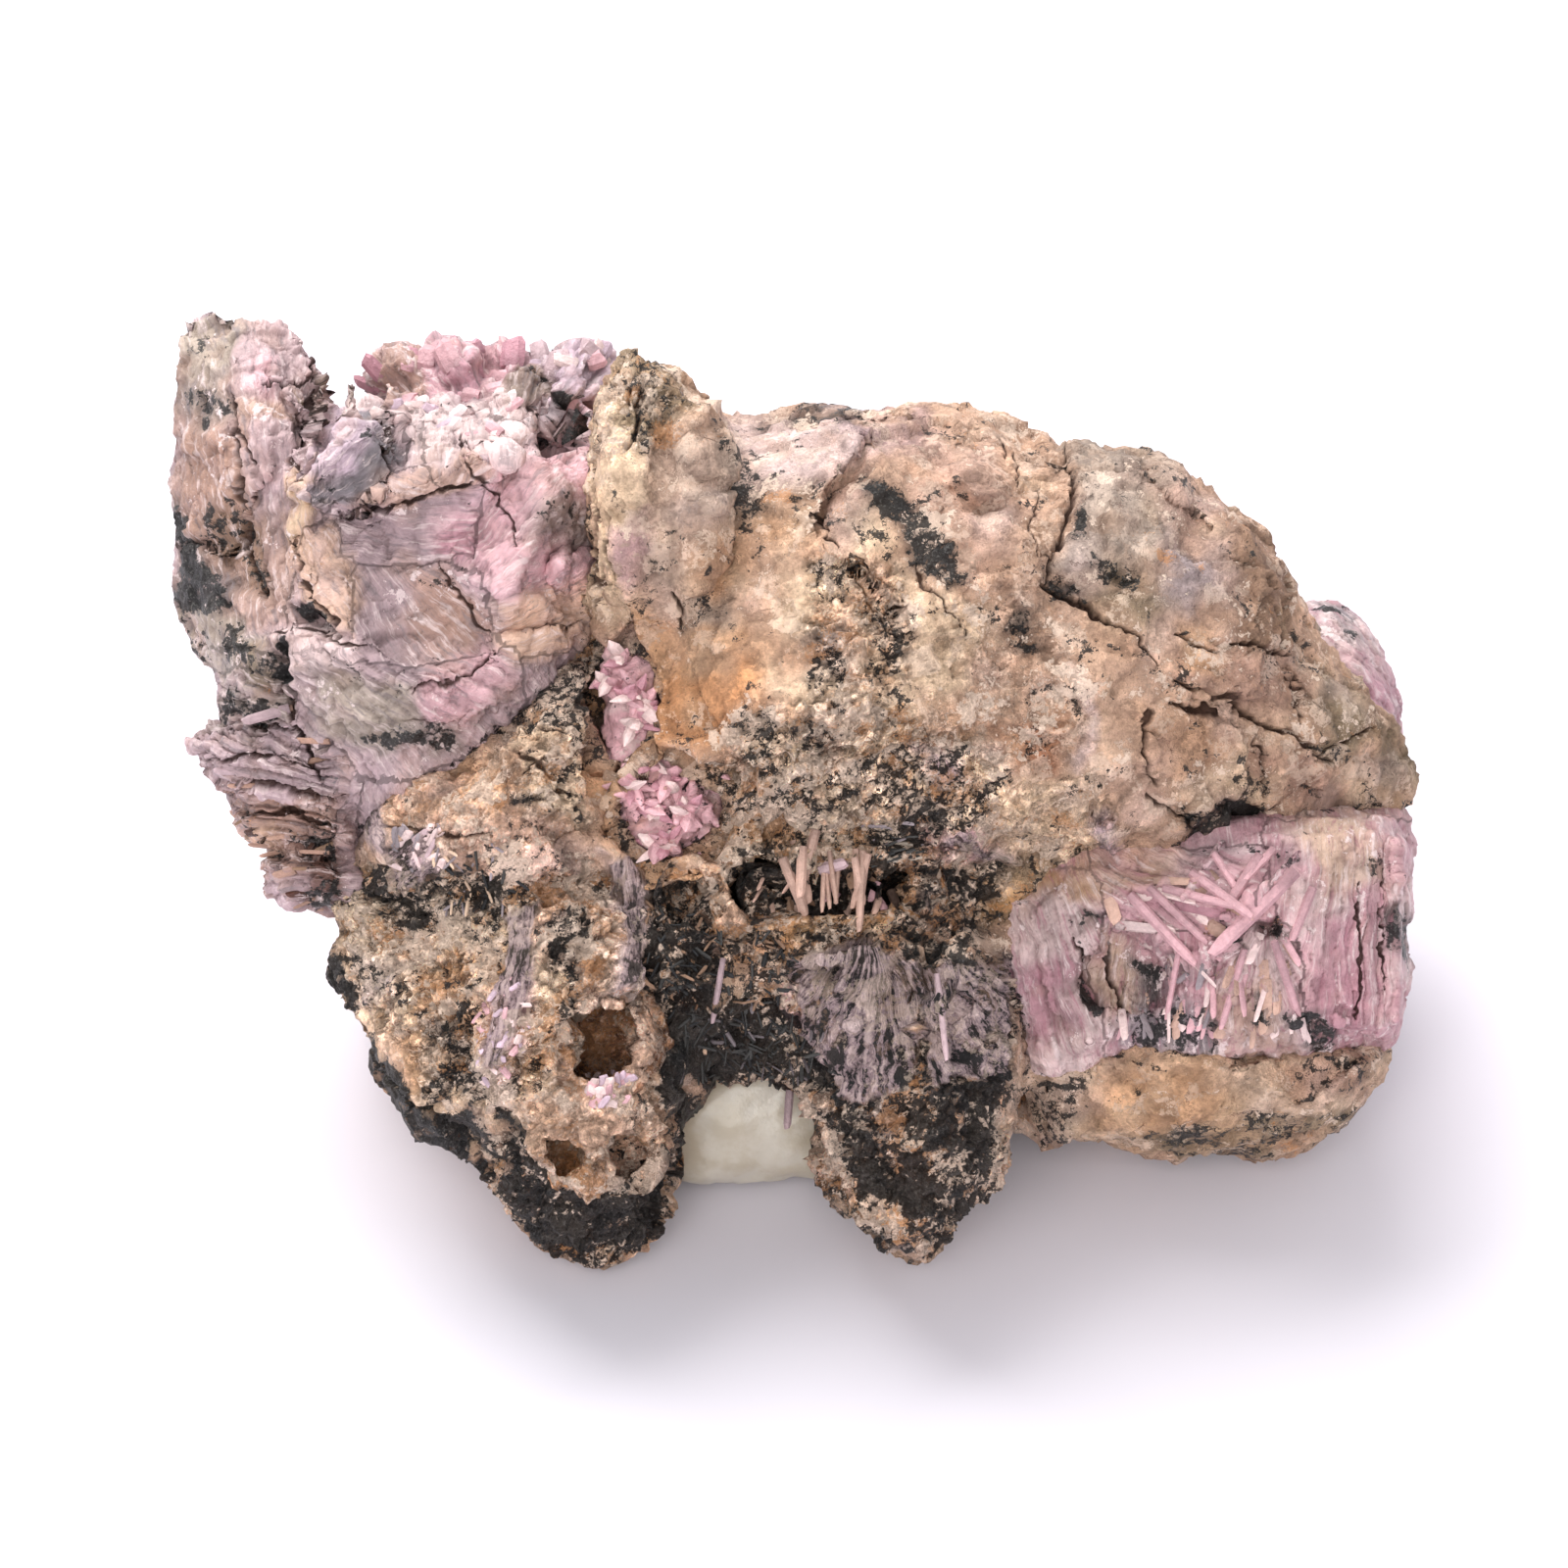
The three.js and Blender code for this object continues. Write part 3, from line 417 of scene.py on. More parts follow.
# Drawn patches: colour, softness of the border in pixels, lift in millimetres, black stain from 0 to 1, or
# below 0 where it takes stain away, and outline
ROCK_PATCHES = {
    "groove": (TAN, 12, 1.6, 0, [(694, 420), (730, 425), (736, 520), (720, 600), (690, 610), (690, 500)]),
    "pillar": (CREAM, 6, 0.5, 0, [(597, 400), (655, 357), (700, 395), (668, 460), (650, 615), (606, 625)]),
    "pillar_cream": (CREAM, 6, 0, 0, [(598, 408), (634, 405), (644, 440), (632, 480), (600, 470)]),
    "pillar_grey": (OLIVE, 9, 0, 0.5, [(636, 368), (672, 360), (702, 395), (690, 440), (655, 460),
        (632, 430)]),
    "pillar_pink": (PINK, 7, 0, 0, [(630, 535), (662, 530), (668, 590), (640, 612), (626, 590)]),
    "cap_left": (WARM_GREY, 18, 0, 0, [(672, 445), (760, 440), (790, 500), (740, 560), (690, 640),
        (655, 600)]),
    "cap_smudges": (GREY_GREEN, 14, 0, 0.47, [(722, 455), (768, 455), (786, 500), (760, 530), (722, 520)]),
    "cap_smudge_2": (GREY_GREEN, 12, 0, 0.46, [(788, 476), (830, 474), (842, 505), (815, 545), (780, 520)]),
    "cap_pink": (PALE_PINK, 15, 0, 0, [(745, 425), (860, 418), (900, 440), (880, 480), (800, 492),
        (750, 470)]),
    "cap_mauve": (MAUVE, 10, 0, 0, [(862, 430), (942, 430), (945, 460), (880, 468)]),
    "cap_ochre": (OCHRE, 20, 0.3, 0, [(690, 560), (760, 512), (830, 520), (850, 610), (826, 668),
        (700, 690)]),
    "cap_light": (PEACH, 14, 0, 0, [(766, 545), (836, 550), (846, 630), (810, 665), (770, 660), (745, 610)]),
    "highlight": (CREAM, 10, 0, 0, [(800, 585), (842, 580), (850, 640), (820, 656), (798, 640)]),
    "round": (GREY_GREEN, 12, 0, 0.46, [(703, 600), (748, 598), (748, 642), (706, 644)]),
    "orange_face": (ORANGE, 12, 0.4, 0, [(660, 690), (700, 680), (770, 684), (782, 712), (712, 768),
        (672, 764)]),
    "orange_left": (OCHRE, 8, 0, 0, [(640, 620), (690, 640), (700, 690), (664, 700), (640, 668)]),
    "smooth": (ROSY_TAN, 16, 0.5, 0, [(932, 452), (1014, 440), (1040, 500), (1020, 560), (985, 585),
        (945, 530)]),
    "cream": (CREAM, 9, 0.5, 0, [(918, 612), (960, 598), (1005, 640), (1000, 700), (950, 712), (914, 690)]),
    "cream_2": (CREAM, 7, 0.2, 0, [(905, 575), (935, 575), (940, 600), (915, 612)]),
    "bar_face": (PINK_BROWN, 7, 0.4, 0, [(834, 505), (878, 492), (892, 520), (862, 548), (838, 530)]),
    "bar": (BLACK, 4, -0.2, 0.8, [(874, 493), (902, 487), (938, 519), (980, 588), (965, 600), (912, 545),
        (890, 515)]),
    "bar_side": (CREAM, 8, 0, 0.56, [(862, 545), (890, 532), (912, 560), (900, 572), (868, 566)]),
    "speck_1": (CREAM, 9, -0.35, 0.56, [(828, 572), (872, 570), (874, 600), (850, 622), (830, 610)]),
    "speck_2": (CREAM, 9, -0.35, 0.56, [(876, 612), (912, 618), (922, 660), (918, 690), (884, 684)]),
    "streak": (GREY_GREEN, 9, -0.2, 0.6, [(832, 645), (862, 645), (868, 690), (856, 732), (834, 728)]),
    "cluster": (OLIVE * 1.2, 14, -0.1, 0.5, [(748, 735), (830, 728), (850, 760), (820, 800), (770, 800)]),
    "crumb_tan": (CREAM, 12, 0.2, 0.3, [(779, 691), (930, 700), (950, 765), (860, 765)]),
    "grey_slab": (GREY_GREEN * 1.3, 8, 0.9, 0, [(1088, 466), (1150, 460), (1205, 480), (1216, 525),
        (1180, 575), (1084, 580)]),
    "slab_right": (ROSY_TAN, 14, 0, 0, [(1175, 488), (1240, 500), (1268, 545), (1240, 570), (1200, 560)]),
    "right_edge": (BROWN, 12, 0.3, 0, [(1240, 520), (1310, 545), (1330, 600), (1290, 620), (1250, 590)]),
    "olive_spot": (OLIVE, 5, -0.3, 0.6, [(1113, 560), (1132, 552), (1150, 572), (1170, 580), (1160, 596),
        (1130, 590)]),
    "slab_spot": (BLACK, 4, -0.5, 0.8, [(1078, 522), (1092, 520), (1097, 544), (1082, 548)]),
    "olive_patch": (OLIVE, 14, 0, 0, [(1108, 596), (1180, 590), (1196, 622), (1160, 645), (1120, 640)]),
    "grey_right": (GREY_MAUVE, 14, 0.2, 0, [(1190, 560), (1250, 555), (1250, 610), (1210, 632),
        (1180, 610)]),
    "crack_head": (BLACK, 6, -0.4, 0.62, [(1070, 584), (1112, 592), (1112, 616), (1082, 612)]),
    "block_brown": (BROWN, 8, 0.6, 0, [(1245, 614), (1310, 612), (1318, 658), (1270, 662), (1235, 650)]),
    "block_rose": (PINK_BROWN, 9, 0.1, 0, [(1190, 660), (1322, 666), (1335, 712), (1290, 730), (1200, 695)]),
    "block_amber": (OCHRE, 9, 0, 0, [(1200, 640), (1240, 650), (1240, 685), (1205, 685)]),
    "dome": (BROWN_TAN, 9, 0.8, 0, [(1165, 720), (1270, 745), (1280, 800), (1240, 832), (1190, 820),
        (1168, 780)]),
    "dome_cream": (PALE_TAN, 9, 0, 0, [(1205, 780), (1262, 775), (1262, 818), (1228, 828), (1205, 810)]),
    "end_cream": (CREAM, 7, -0.2, 0.4, [(1262, 755), (1284, 758), (1290, 815), (1262, 820)]),
    "right_face": (PINK_BROWN, 12, 0.4, 0, [(1290, 760), (1350, 780), (1360, 825), (1310, 842),
        (1288, 800)]),
    "shoulder": (OLIVE, 12, 0.6, 0, [(1335, 680), (1400, 715), (1404, 765), (1360, 770), (1332, 725)]),
    "shoulder_2": (OLIVE, 7, -0.3, 0.55, [(1340, 752), (1375, 757), (1372, 778), (1342, 775)]),
    "end_lump": (OLIVE, 9, 0.6, 0, [(1398, 725), (1450, 750), (1446, 800), (1420, 832), (1398, 800)]),
    "end_tan": (PALE_TAN, 8, 0.3, 0, [(1360, 795), (1400, 790), (1408, 832), (1372, 838)]),
    "edge_line": (PALE_PINK, 5, -0.2, 0, [(1085, 690), (1108, 740), (1112, 790), (1104, 790), (1094, 745)]),
    "overhang": (CREAM, 14, 0.4, 0.2, [(1018, 806), (1120, 800), (1140, 850), (1100, 872), (1030, 868)]),
    "lilac_bit": (LILAC, 4, 0.3, 0, [(1115, 832), (1140, 828), (1156, 846), (1140, 858), (1120, 852)]),
    "low_patch": (BLACK, 6, -0.4, 0.8, [(1212, 836), (1235, 822), (1270, 820), (1300, 840), (1262, 858),
        (1215, 860)]),
    "seam_side": (BLACK, 7, 0, 0.58, [(1135, 856), (1200, 866), (1320, 846), (1330, 868), (1220, 886),
        (1140, 874)]),
    "right_bit": (BLACK, 6, -0.2, 0.65, [(1350, 820), (1376, 816), (1380, 836), (1354, 840)]),
    "top_edge": (BLACK, 5, 0, 0.58, [(772, 424), (830, 410), (882, 418), (880, 430), (830, 422),
        (775, 432)]),
    "squiggle": (BLACK, 5, -0.3, 0.6, [(1018, 645), (1040, 625), (1050, 645), (1074, 652), (1070, 664),
        (1040, 656)]),
    "red_lines": (RUST, 9, 0, 0, [(1018, 748), (1080, 742), (1082, 790), (1024, 792)]),
    "crumbs": (PALE_CREAM, 14, 0, 0.38, [(734, 800), (880, 790), (890, 870), (830, 895), (740, 895)]),
    "band": (CREAM, 12, 0, 0.53, [(870, 765), (1000, 758), (1024, 800), (1000, 845), (900, 842)]),
    "band_dark": (BLACK, 8, -0.4, 0.75, [(925, 800), (958, 795), (965, 845), (930, 850)]),
    "band_mauve": (MAUVE, 8, 0, 0.3, [(930, 765), (975, 760), (985, 790), (940, 800)]),
    "lens_side": (CHARCOAL, 7, 0, 0.7, [(880, 842), (940, 835), (945, 880), (890, 884)]),
    "lens": (PINK, 5, 0.8, 0, [(935, 848), (985, 838), (1030, 862), (1044, 882), (990, 874), (940, 884)]),
    "below_lens": (CHARCOAL, 9, -0.3, 0.7, [(920, 890), (1022, 878), (1030, 930), (990, 960), (924, 955)]),
    "olive_tan": (OLIVE, 10, 0, 0.3, [(1000, 870), (1085, 870), (1090, 900), (1005, 905)]),
    "honey": (HONEY, 9, 0, 0, [(1012, 898), (1110, 892), (1116, 922), (1018, 926)]),
    "slit": (DARK_RUST, 4, -3.2, 0.3, [(745, 902), (790, 896), (880, 905), (925, 890), (930, 912),
        (880, 932), (760, 936)]),
    "slit_black": (BLACK, 4, -1.0, 0.9, [(806, 900), (828, 900), (828, 930), (806, 932)]),
    "mustard": (HONEY, 10, 0.2, 0.46, [(770, 940), (930, 920), (930, 990), (800, 1000), (760, 960)]),
    "low_slit": (BROWN, 8, -1.0, 0.6, [(722, 945), (790, 950), (830, 1010), (740, 1030), (722, 990)]),
    "tan_patch": (PEACH * [1.5, 1.38, 1.22], 13, 0, -0.8, [(380, 765), (470, 752), (530, 790), (530, 850),
        (440, 850), (385, 815)]),
    "tan_orange": (OCHRE, 8, 0, 0, [(455, 780), (510, 778), (512, 825), (470, 830)]),
    "tan_brown": (ROSY_TAN, 10, 0, 0, [(392, 775), (450, 770), (450, 815), (400, 815)]),
    "wedge": (GREY_GREEN, 8, -0.3, 0.55, [(504, 706), (584, 650), (604, 662), (606, 735), (540, 745),
        (506, 740)]),
    "needle_zone": (CREAM, 7, 0, 0.3, [(520, 740), (606, 735), (612, 800), (600, 850), (530, 840)]),
    "needle_edge": (PALE_CREAM, 6, 0.2, 0, [(556, 770), (604, 765), (610, 830), (570, 850), (552, 820)]),
    "wedge_brown": (BROWN, 3, -0.3, 0, [(504, 788), (528, 785), (527, 816), (504, 806)]),
    "dark_lens": (CHARCOAL, 5, 0, 0.6, [(512, 818), (552, 812), (555, 826), (520, 834)]),
    "flank": (PALE_PINK, 7, 0.4, 0, [(300, 745), (335, 750), (395, 832), (400, 866), (360, 850),
        (320, 795)]),
    "flank_2": (ROSY_TAN, 12, 0, 0.25, [(395, 835), (560, 842), (600, 900), (520, 905), (420, 870)]),
    "vug": (OCHRE, 6, -1.8, 0, [(606, 690), (640, 645), (670, 700), (668, 760), (745, 800), (730, 880),
        (650, 900), (604, 790)]),
    "vug_dark": (DARK_RUST, 4, -1.2, 0, [(602, 735), (640, 738), (644, 775), (606, 778)]),
    "vug_dark_2": (DARK_RUST, 4, -1.2, 0, [(626, 650), (648, 652), (650, 680), (630, 684)]),
    "vug_dark_3": (BLACK, 4, -1.0, 0.7, [(652, 895), (690, 890), (716, 915), (690, 945), (660, 930)]),
    "lobe_base": (CREAM, 8, 0, 0.24, [(340, 890), (520, 900), (560, 1000), (560, 1180), (400, 1120),
        (335, 990)]),
    "lobe_cream": (PALE_CREAM, 7, 0.4, -0.6, [(340, 905), (400, 895), (420, 960), (400, 985), (350, 975)]),
    "lobe_cream_2": (CREAM, 8, 0.3, 0.3, [(410, 965), (460, 960), (470, 1050), (425, 1060), (408, 1020)]),
    "lobe_top": (CHARCOAL, 7, -0.3, 0.8, [(350, 892), (440, 868), (526, 885), (530, 935), (440, 950),
        (400, 930)]),
    "lobe_speck": (GREY_MAUVE, 7, 0, 0.58, [(355, 975), (402, 975), (408, 1018), (366, 1024)]),
    "lobe_mid": (OCHRE, 9, -0.2, 0.36, [(415, 985), (495, 962), (500, 1040), (440, 1075)]),
    "lobe_ochre": (OCHRE, 7, 0.3, -0.8, [(398, 1065), (440, 1060), (452, 1105), (430, 1128), (402, 1105)]),
    "lobe_oval": (CHARCOAL, 4, 0.1, 0.5, [(452, 1092), (468, 1080), (484, 1098), (476, 1130), (456, 1128)]),
    "lobe_line": (CHARCOAL, 6, -0.5, 0.6, [(440, 1050), (462, 1030), (474, 1090), (452, 1110)]),
    "lobe_right": (CHARCOAL, 6, -0.4, 0.6, [(556, 950), (600, 930), (600, 1020), (574, 1060), (560, 1010)]),
    "lobe_facet": (CREAM, 4, 0.5, -0.8, [(540, 990), (585, 994), (580, 1046), (545, 1040)]),
    "lobe_amber": (OCHRE, 6, 0.2, 0, [(525, 1040), (570, 1040), (568, 1090), (530, 1095)]),
    "lobe_pink": (PINK, 6, 0.3, -0.8, [(498, 995), (540, 990), (545, 1060), (510, 1085), (480, 1110),
        (478, 1060)]),
    "lobe_low": (PALE_PINK, 6, 0.2, 0.2, [(470, 1080), (525, 1085), (520, 1130), (490, 1140)]),
    "rim": (PEACH * 1.15, 7, 0.2, 0, [(575, 1025), (640, 1015), (682, 1050), (680, 1130), (640, 1150),
        (580, 1130)]),
    "peach": (PEACH * 1.2, 8, 0.2, 0.15, [(520, 1120), (600, 1110), (680, 1120), (680, 1190), (620, 1226),
        (540, 1200)]),
    "hollow_1": (RUST * 0.7, 4, -1.8, 0, [(590, 1035), (640, 1030), (650, 1080), (630, 1104), (592, 1092)]),
    "hollow_2": (ORANGE, 4, -1.2, 0, [(556, 1165), (600, 1168), (598, 1196), (570, 1198)]),
    "hollow_3": (ORANGE * 0.8, 4, -1.2, 0, [(620, 1160), (656, 1158), (654, 1196), (628, 1200)]),
    "red_hole": (DARK_RUST, 3, -1.0, 0, [(510, 1080), (526, 1078), (528, 1098), (514, 1100)]),
    "column": (PALE_PINK, 5, 0.9, 0, [(622, 866), (655, 862), (660, 960), (652, 1012), (628, 1005),
        (620, 930)]),
    "beside_column": (BLACK, 6, -1.0, 0.8, [(655, 915), (722, 930), (735, 1020), (690, 1040), (655, 1010)]),
    "left_column": (BLACK, 6, 0, 0.65, [(600, 895), (622, 895), (624, 930), (604, 930)]),
    "vent": (RUST, 8, -0.3, 0.35, [(650, 1020), (722, 1020), (720, 1062), (655, 1068)]),
    "strip": (BLACK, 5, -0.5, 0.9, [(490, 1128), (512, 1128), (565, 1215), (548, 1240), (505, 1185)]),
    "tip": (BLACK, 5, 0, 0.93, [(505, 1180), (560, 1215), (620, 1228), (664, 1190), (700, 1150), (705, 1300),
        (520, 1300)]),
    # Painted shadow: black laid over the lobe's left flank, which is dark with shade
    "painted_shadow_flank": (BLACK, 5, 0, 0.85, [(322, 965), (340, 970), (395, 1080), (470, 1150), (520, 1210), (400, 1170),
        (350, 1080)]),
    "lobe_side": (BLACK, 6, 0, 0.85, [(672, 1085), (705, 1040), (715, 1060), (700, 1180), (680, 1160)]),
    "fringe": (BLACK, 6, 0, 0.9, [(690, 1035), (760, 1020), (835, 1040), (850, 1110), (800, 1120),
        (700, 1110)]),
    "fan_pink": (PINK, 8, 0.3, 0.2, [(790, 1000), (870, 995), (895, 960), (930, 965), (900, 1040),
        (860, 1070), (800, 1062)]),
    "fan_lilac": (GREY_MAUVE, 9, 0.2, 0.4, [(850, 1045), (910, 1040), (930, 1130), (905, 1175),
        (860, 1150)]),
    "fan_right": (GREY_MAUVE, 9, 0.1, 0.46, [(950, 1000), (1032, 985), (1032, 1110), (970, 1120),
        (940, 1050)]),
    "fan_slots": (BLACK, 5, -0.8, 0.75, [(895, 1020), (925, 1030), (965, 1095), (935, 1115), (905, 1080)]),
    "fan_slot_2": (BLACK, 4, -1.2, 0.85, [(968, 1005), (990, 1002), (992, 1100), (974, 1108)]),
    "fan_slot_3": (BLACK, 4, -1.2, 0.8, [(940, 970), (962, 968), (958, 1020), (944, 1018)]),
    "fan_blade": (PALE_PINK, 4, 0.5, 0, [(948, 985), (962, 985), (982, 1090), (966, 1100)]),
    "slit_dark": (BLACK, 4, 0, 0.85, [(752, 888), (915, 886), (918, 932), (758, 936)]),
    "pyramid_left": (CHARCOAL, 7, 0, 0.88, [(838, 1105), (905, 1118), (925, 1215), (882, 1222),
        (842, 1185)]),
    "fan_base": (CHARCOAL, 8, 0, 0.74, [(800, 962), (900, 945), (1034, 975), (1034, 1110), (905, 1130),
        (830, 1112)]),
    "pyramid": (BLACK, 7, 0, 0.86, [(920, 1105), (1034, 1100), (1036, 1180), (968, 1290), (935, 1262),
        (905, 1200)]),
    "pyramid_2": (BLACK, 7, 0, 0.8, [(828, 1100), (885, 1115), (912, 1200), (885, 1235), (840, 1190)]),
    "pyramid_3": (CHARCOAL, 6, 0, 0.62, [(800, 1198), (840, 1205), (945, 1290), (930, 1300), (850, 1245)]),
    "pyramid_rust": (OCHRE, 7, 0.1, 0.2, [(868, 1200), (930, 1222), (942, 1262), (900, 1256), (868, 1225)]),
    "pyramid_rim": (PALE_TAN, 5, 0, 0.2, [(1036, 1160), (1060, 1150), (1000, 1240), (958, 1292),
        (955, 1278)]),
    "ledge": (PALE_TAN, 9, 0, 0.1, [(1040, 1100), (1120, 1075), (1425, 1070), (1390, 1140), (1190, 1190),
        (1050, 1150)]),
    "ledge_ochre": (OCHRE, 14, 0.2, 0, [(1120, 1085), (1240, 1078), (1260, 1150), (1190, 1175),
        (1120, 1150)]),
    "ledge_brown": (PINK_BROWN, 9, 0, 0.46, [(1300, 1082), (1400, 1076), (1400, 1112), (1310, 1120)]),
    "ledge_under": (OLIVE, 6, -0.2, 0.52, [(1165, 1162), (1390, 1128), (1380, 1150), (1200, 1200)]),
    "ledge_left": (WARM_GREY, 7, 0, 0.5, [(1036, 1110), (1110, 1085), (1120, 1130), (1060, 1180)]),
}

# Crumbly ground, where the rock breaks into small grains: strength, softness, outline
ROCK_CRUMBS = {
    "band": (1.0, 16, [(740, 735), (870, 700), (1020, 762), (1030, 900), (960, 990), (780, 1010),
        (700, 940)]),
    "lobe": (1.0, 14, [(335, 885), (600, 880), (720, 930), (700, 1060), (560, 1110), (480, 1150),
        (350, 1010)]),
    "rim": (0.7, 8, [(520, 1020), (690, 1010), (690, 1230), (530, 1220)]),
    "tip": (0.8, 8, [(490, 1170), (705, 1150), (705, 1310), (510, 1290)]),
    "pyramid": (0.9, 10, [(700, 1030), (1036, 990), (1040, 1200), (950, 1300), (830, 1220)]),
    "speckles": (0.8, 10, [(826, 566), (925, 575), (930, 695), (870, 735), (826, 725)]),
    "pillar": (0.5, 10, [(597, 360), (700, 380), (690, 450), (600, 480)]),
    "wedge": (0.6, 8, [(500, 650), (608, 648), (612, 850), (500, 850)]),
    "patch": (0.5, 10, [(380, 760), (510, 755), (600, 880), (400, 860)]),
    "overhang": (0.45, 12, [(1015, 800), (1135, 790), (1150, 875), (1020, 900)]),
    "cap": (0.3, 16, [(980, 590), (1090, 600), (1110, 780), (1010, 790), (940, 730)]),
}

# Cracks: width in pixels, depth in millimetres, line
ROCK_CRACKS = {
    "pillar_slit": (8, 1.1, [(658, 384), (652, 415), (645, 455)]),
    "pillar_slit_2": (5, 0.6, [(640, 392), (640, 420)]),
    "pillar_side": (5, 0.7, [(628, 520), (622, 560), (625, 600)]),
    "cap_slit": (6, 0.8, [(688, 604), (694, 620), (700, 642)]),
    "bar_line": (4, 0.35, [(828, 520), (842, 540), (858, 555)]),
    "bar_line_2": (4, 0.35, [(864, 575), (880, 604), (900, 634), (916, 652)]),
    "bar_line_3": (4, 0.35, [(936, 572), (944, 596), (964, 620), (984, 648)]),
    "thin_1": (4, 0.4, [(1022, 446), (1026, 470)]),
    "thin_2": (4, 0.45, [(1036, 462), (1040, 480), (1038, 500)]),
    "thin_3": (3, 0.3, [(1060, 500), (1052, 540), (1062, 570)]),
    "slab_step": (6, 0.9, [(1088, 470), (1094, 498), (1090, 530), (1078, 560), (1070, 590)]),
    "main_1": (9, 1.2, [(1066, 592), (1082, 604), (1106, 618), (1134, 636)]),
    "main_2": (4, 0.5, [(1134, 636), (1160, 650), (1180, 680)]),
    "right_1": (6, 0.8, [(1196, 646), (1215, 652), (1240, 668)]),
    "right_2": (7, 0.9, [(1254, 656), (1284, 660), (1320, 666)]),
    "right_3": (7, 0.9, [(1296, 620), (1312, 636), (1316, 664)]),
    "right_4": (7, 0.9, [(1200, 694), (1230, 705), (1262, 716), (1282, 732), (1296, 742)]),
    "right_5": (7, 0.8, [(1194, 718), (1230, 728), (1268, 740)]),
    "right_6": (9, 1.1, [(1294, 740), (1320, 750), (1340, 768), (1358, 776)]),
    "right_7": (5, 0.7, [(1168, 722), (1166, 748), (1170, 780), (1182, 800)]),
    "right_8": (5, 0.5, [(1170, 812), (1194, 826), (1218, 844)]),
    "right_9": (4, 0.5, [(1288, 748), (1292, 780), (1290, 820)]),
    "right_10": (4, 0.5, [(1322, 680), (1324, 710), (1332, 738)]),
    "right_11": (4, 0.5, [(1340, 775), (1372, 752), (1400, 742)]),
    "seam": (10, 1.2, [(1134, 864), (1190, 874), (1256, 862), (1320, 852)]),
    "edge_join": (6, 0.7, [(610, 470), (614, 520), (608, 570), (612, 620)]),
    "wedge_edge": (5, 0.6, [(604, 650), (604, 700), (608, 750)]),
    "needle_1": (5, 0.4, [(530, 740), (552, 741), (578, 746)]),
    "needle_2": (5, 0.4, [(524, 762), (545, 778), (566, 796)]),
    "needle_3": (4, 0.35, [(534, 790), (552, 776), (572, 772)]),
    "needle_4": (4, 0.35, [(545, 812), (566, 806), (590, 812)]),
    "flank_line": (5, 0.6, [(396, 840), (440, 852), (500, 856)]),
    "pyramid_edge": (6, 0.9, [(1032, 980), (1034, 1040), (1032, 1110)]),
    "outer_line": (6, 0.8, [(336, 985), (372, 1070), (430, 1130), (500, 1195)]),
}

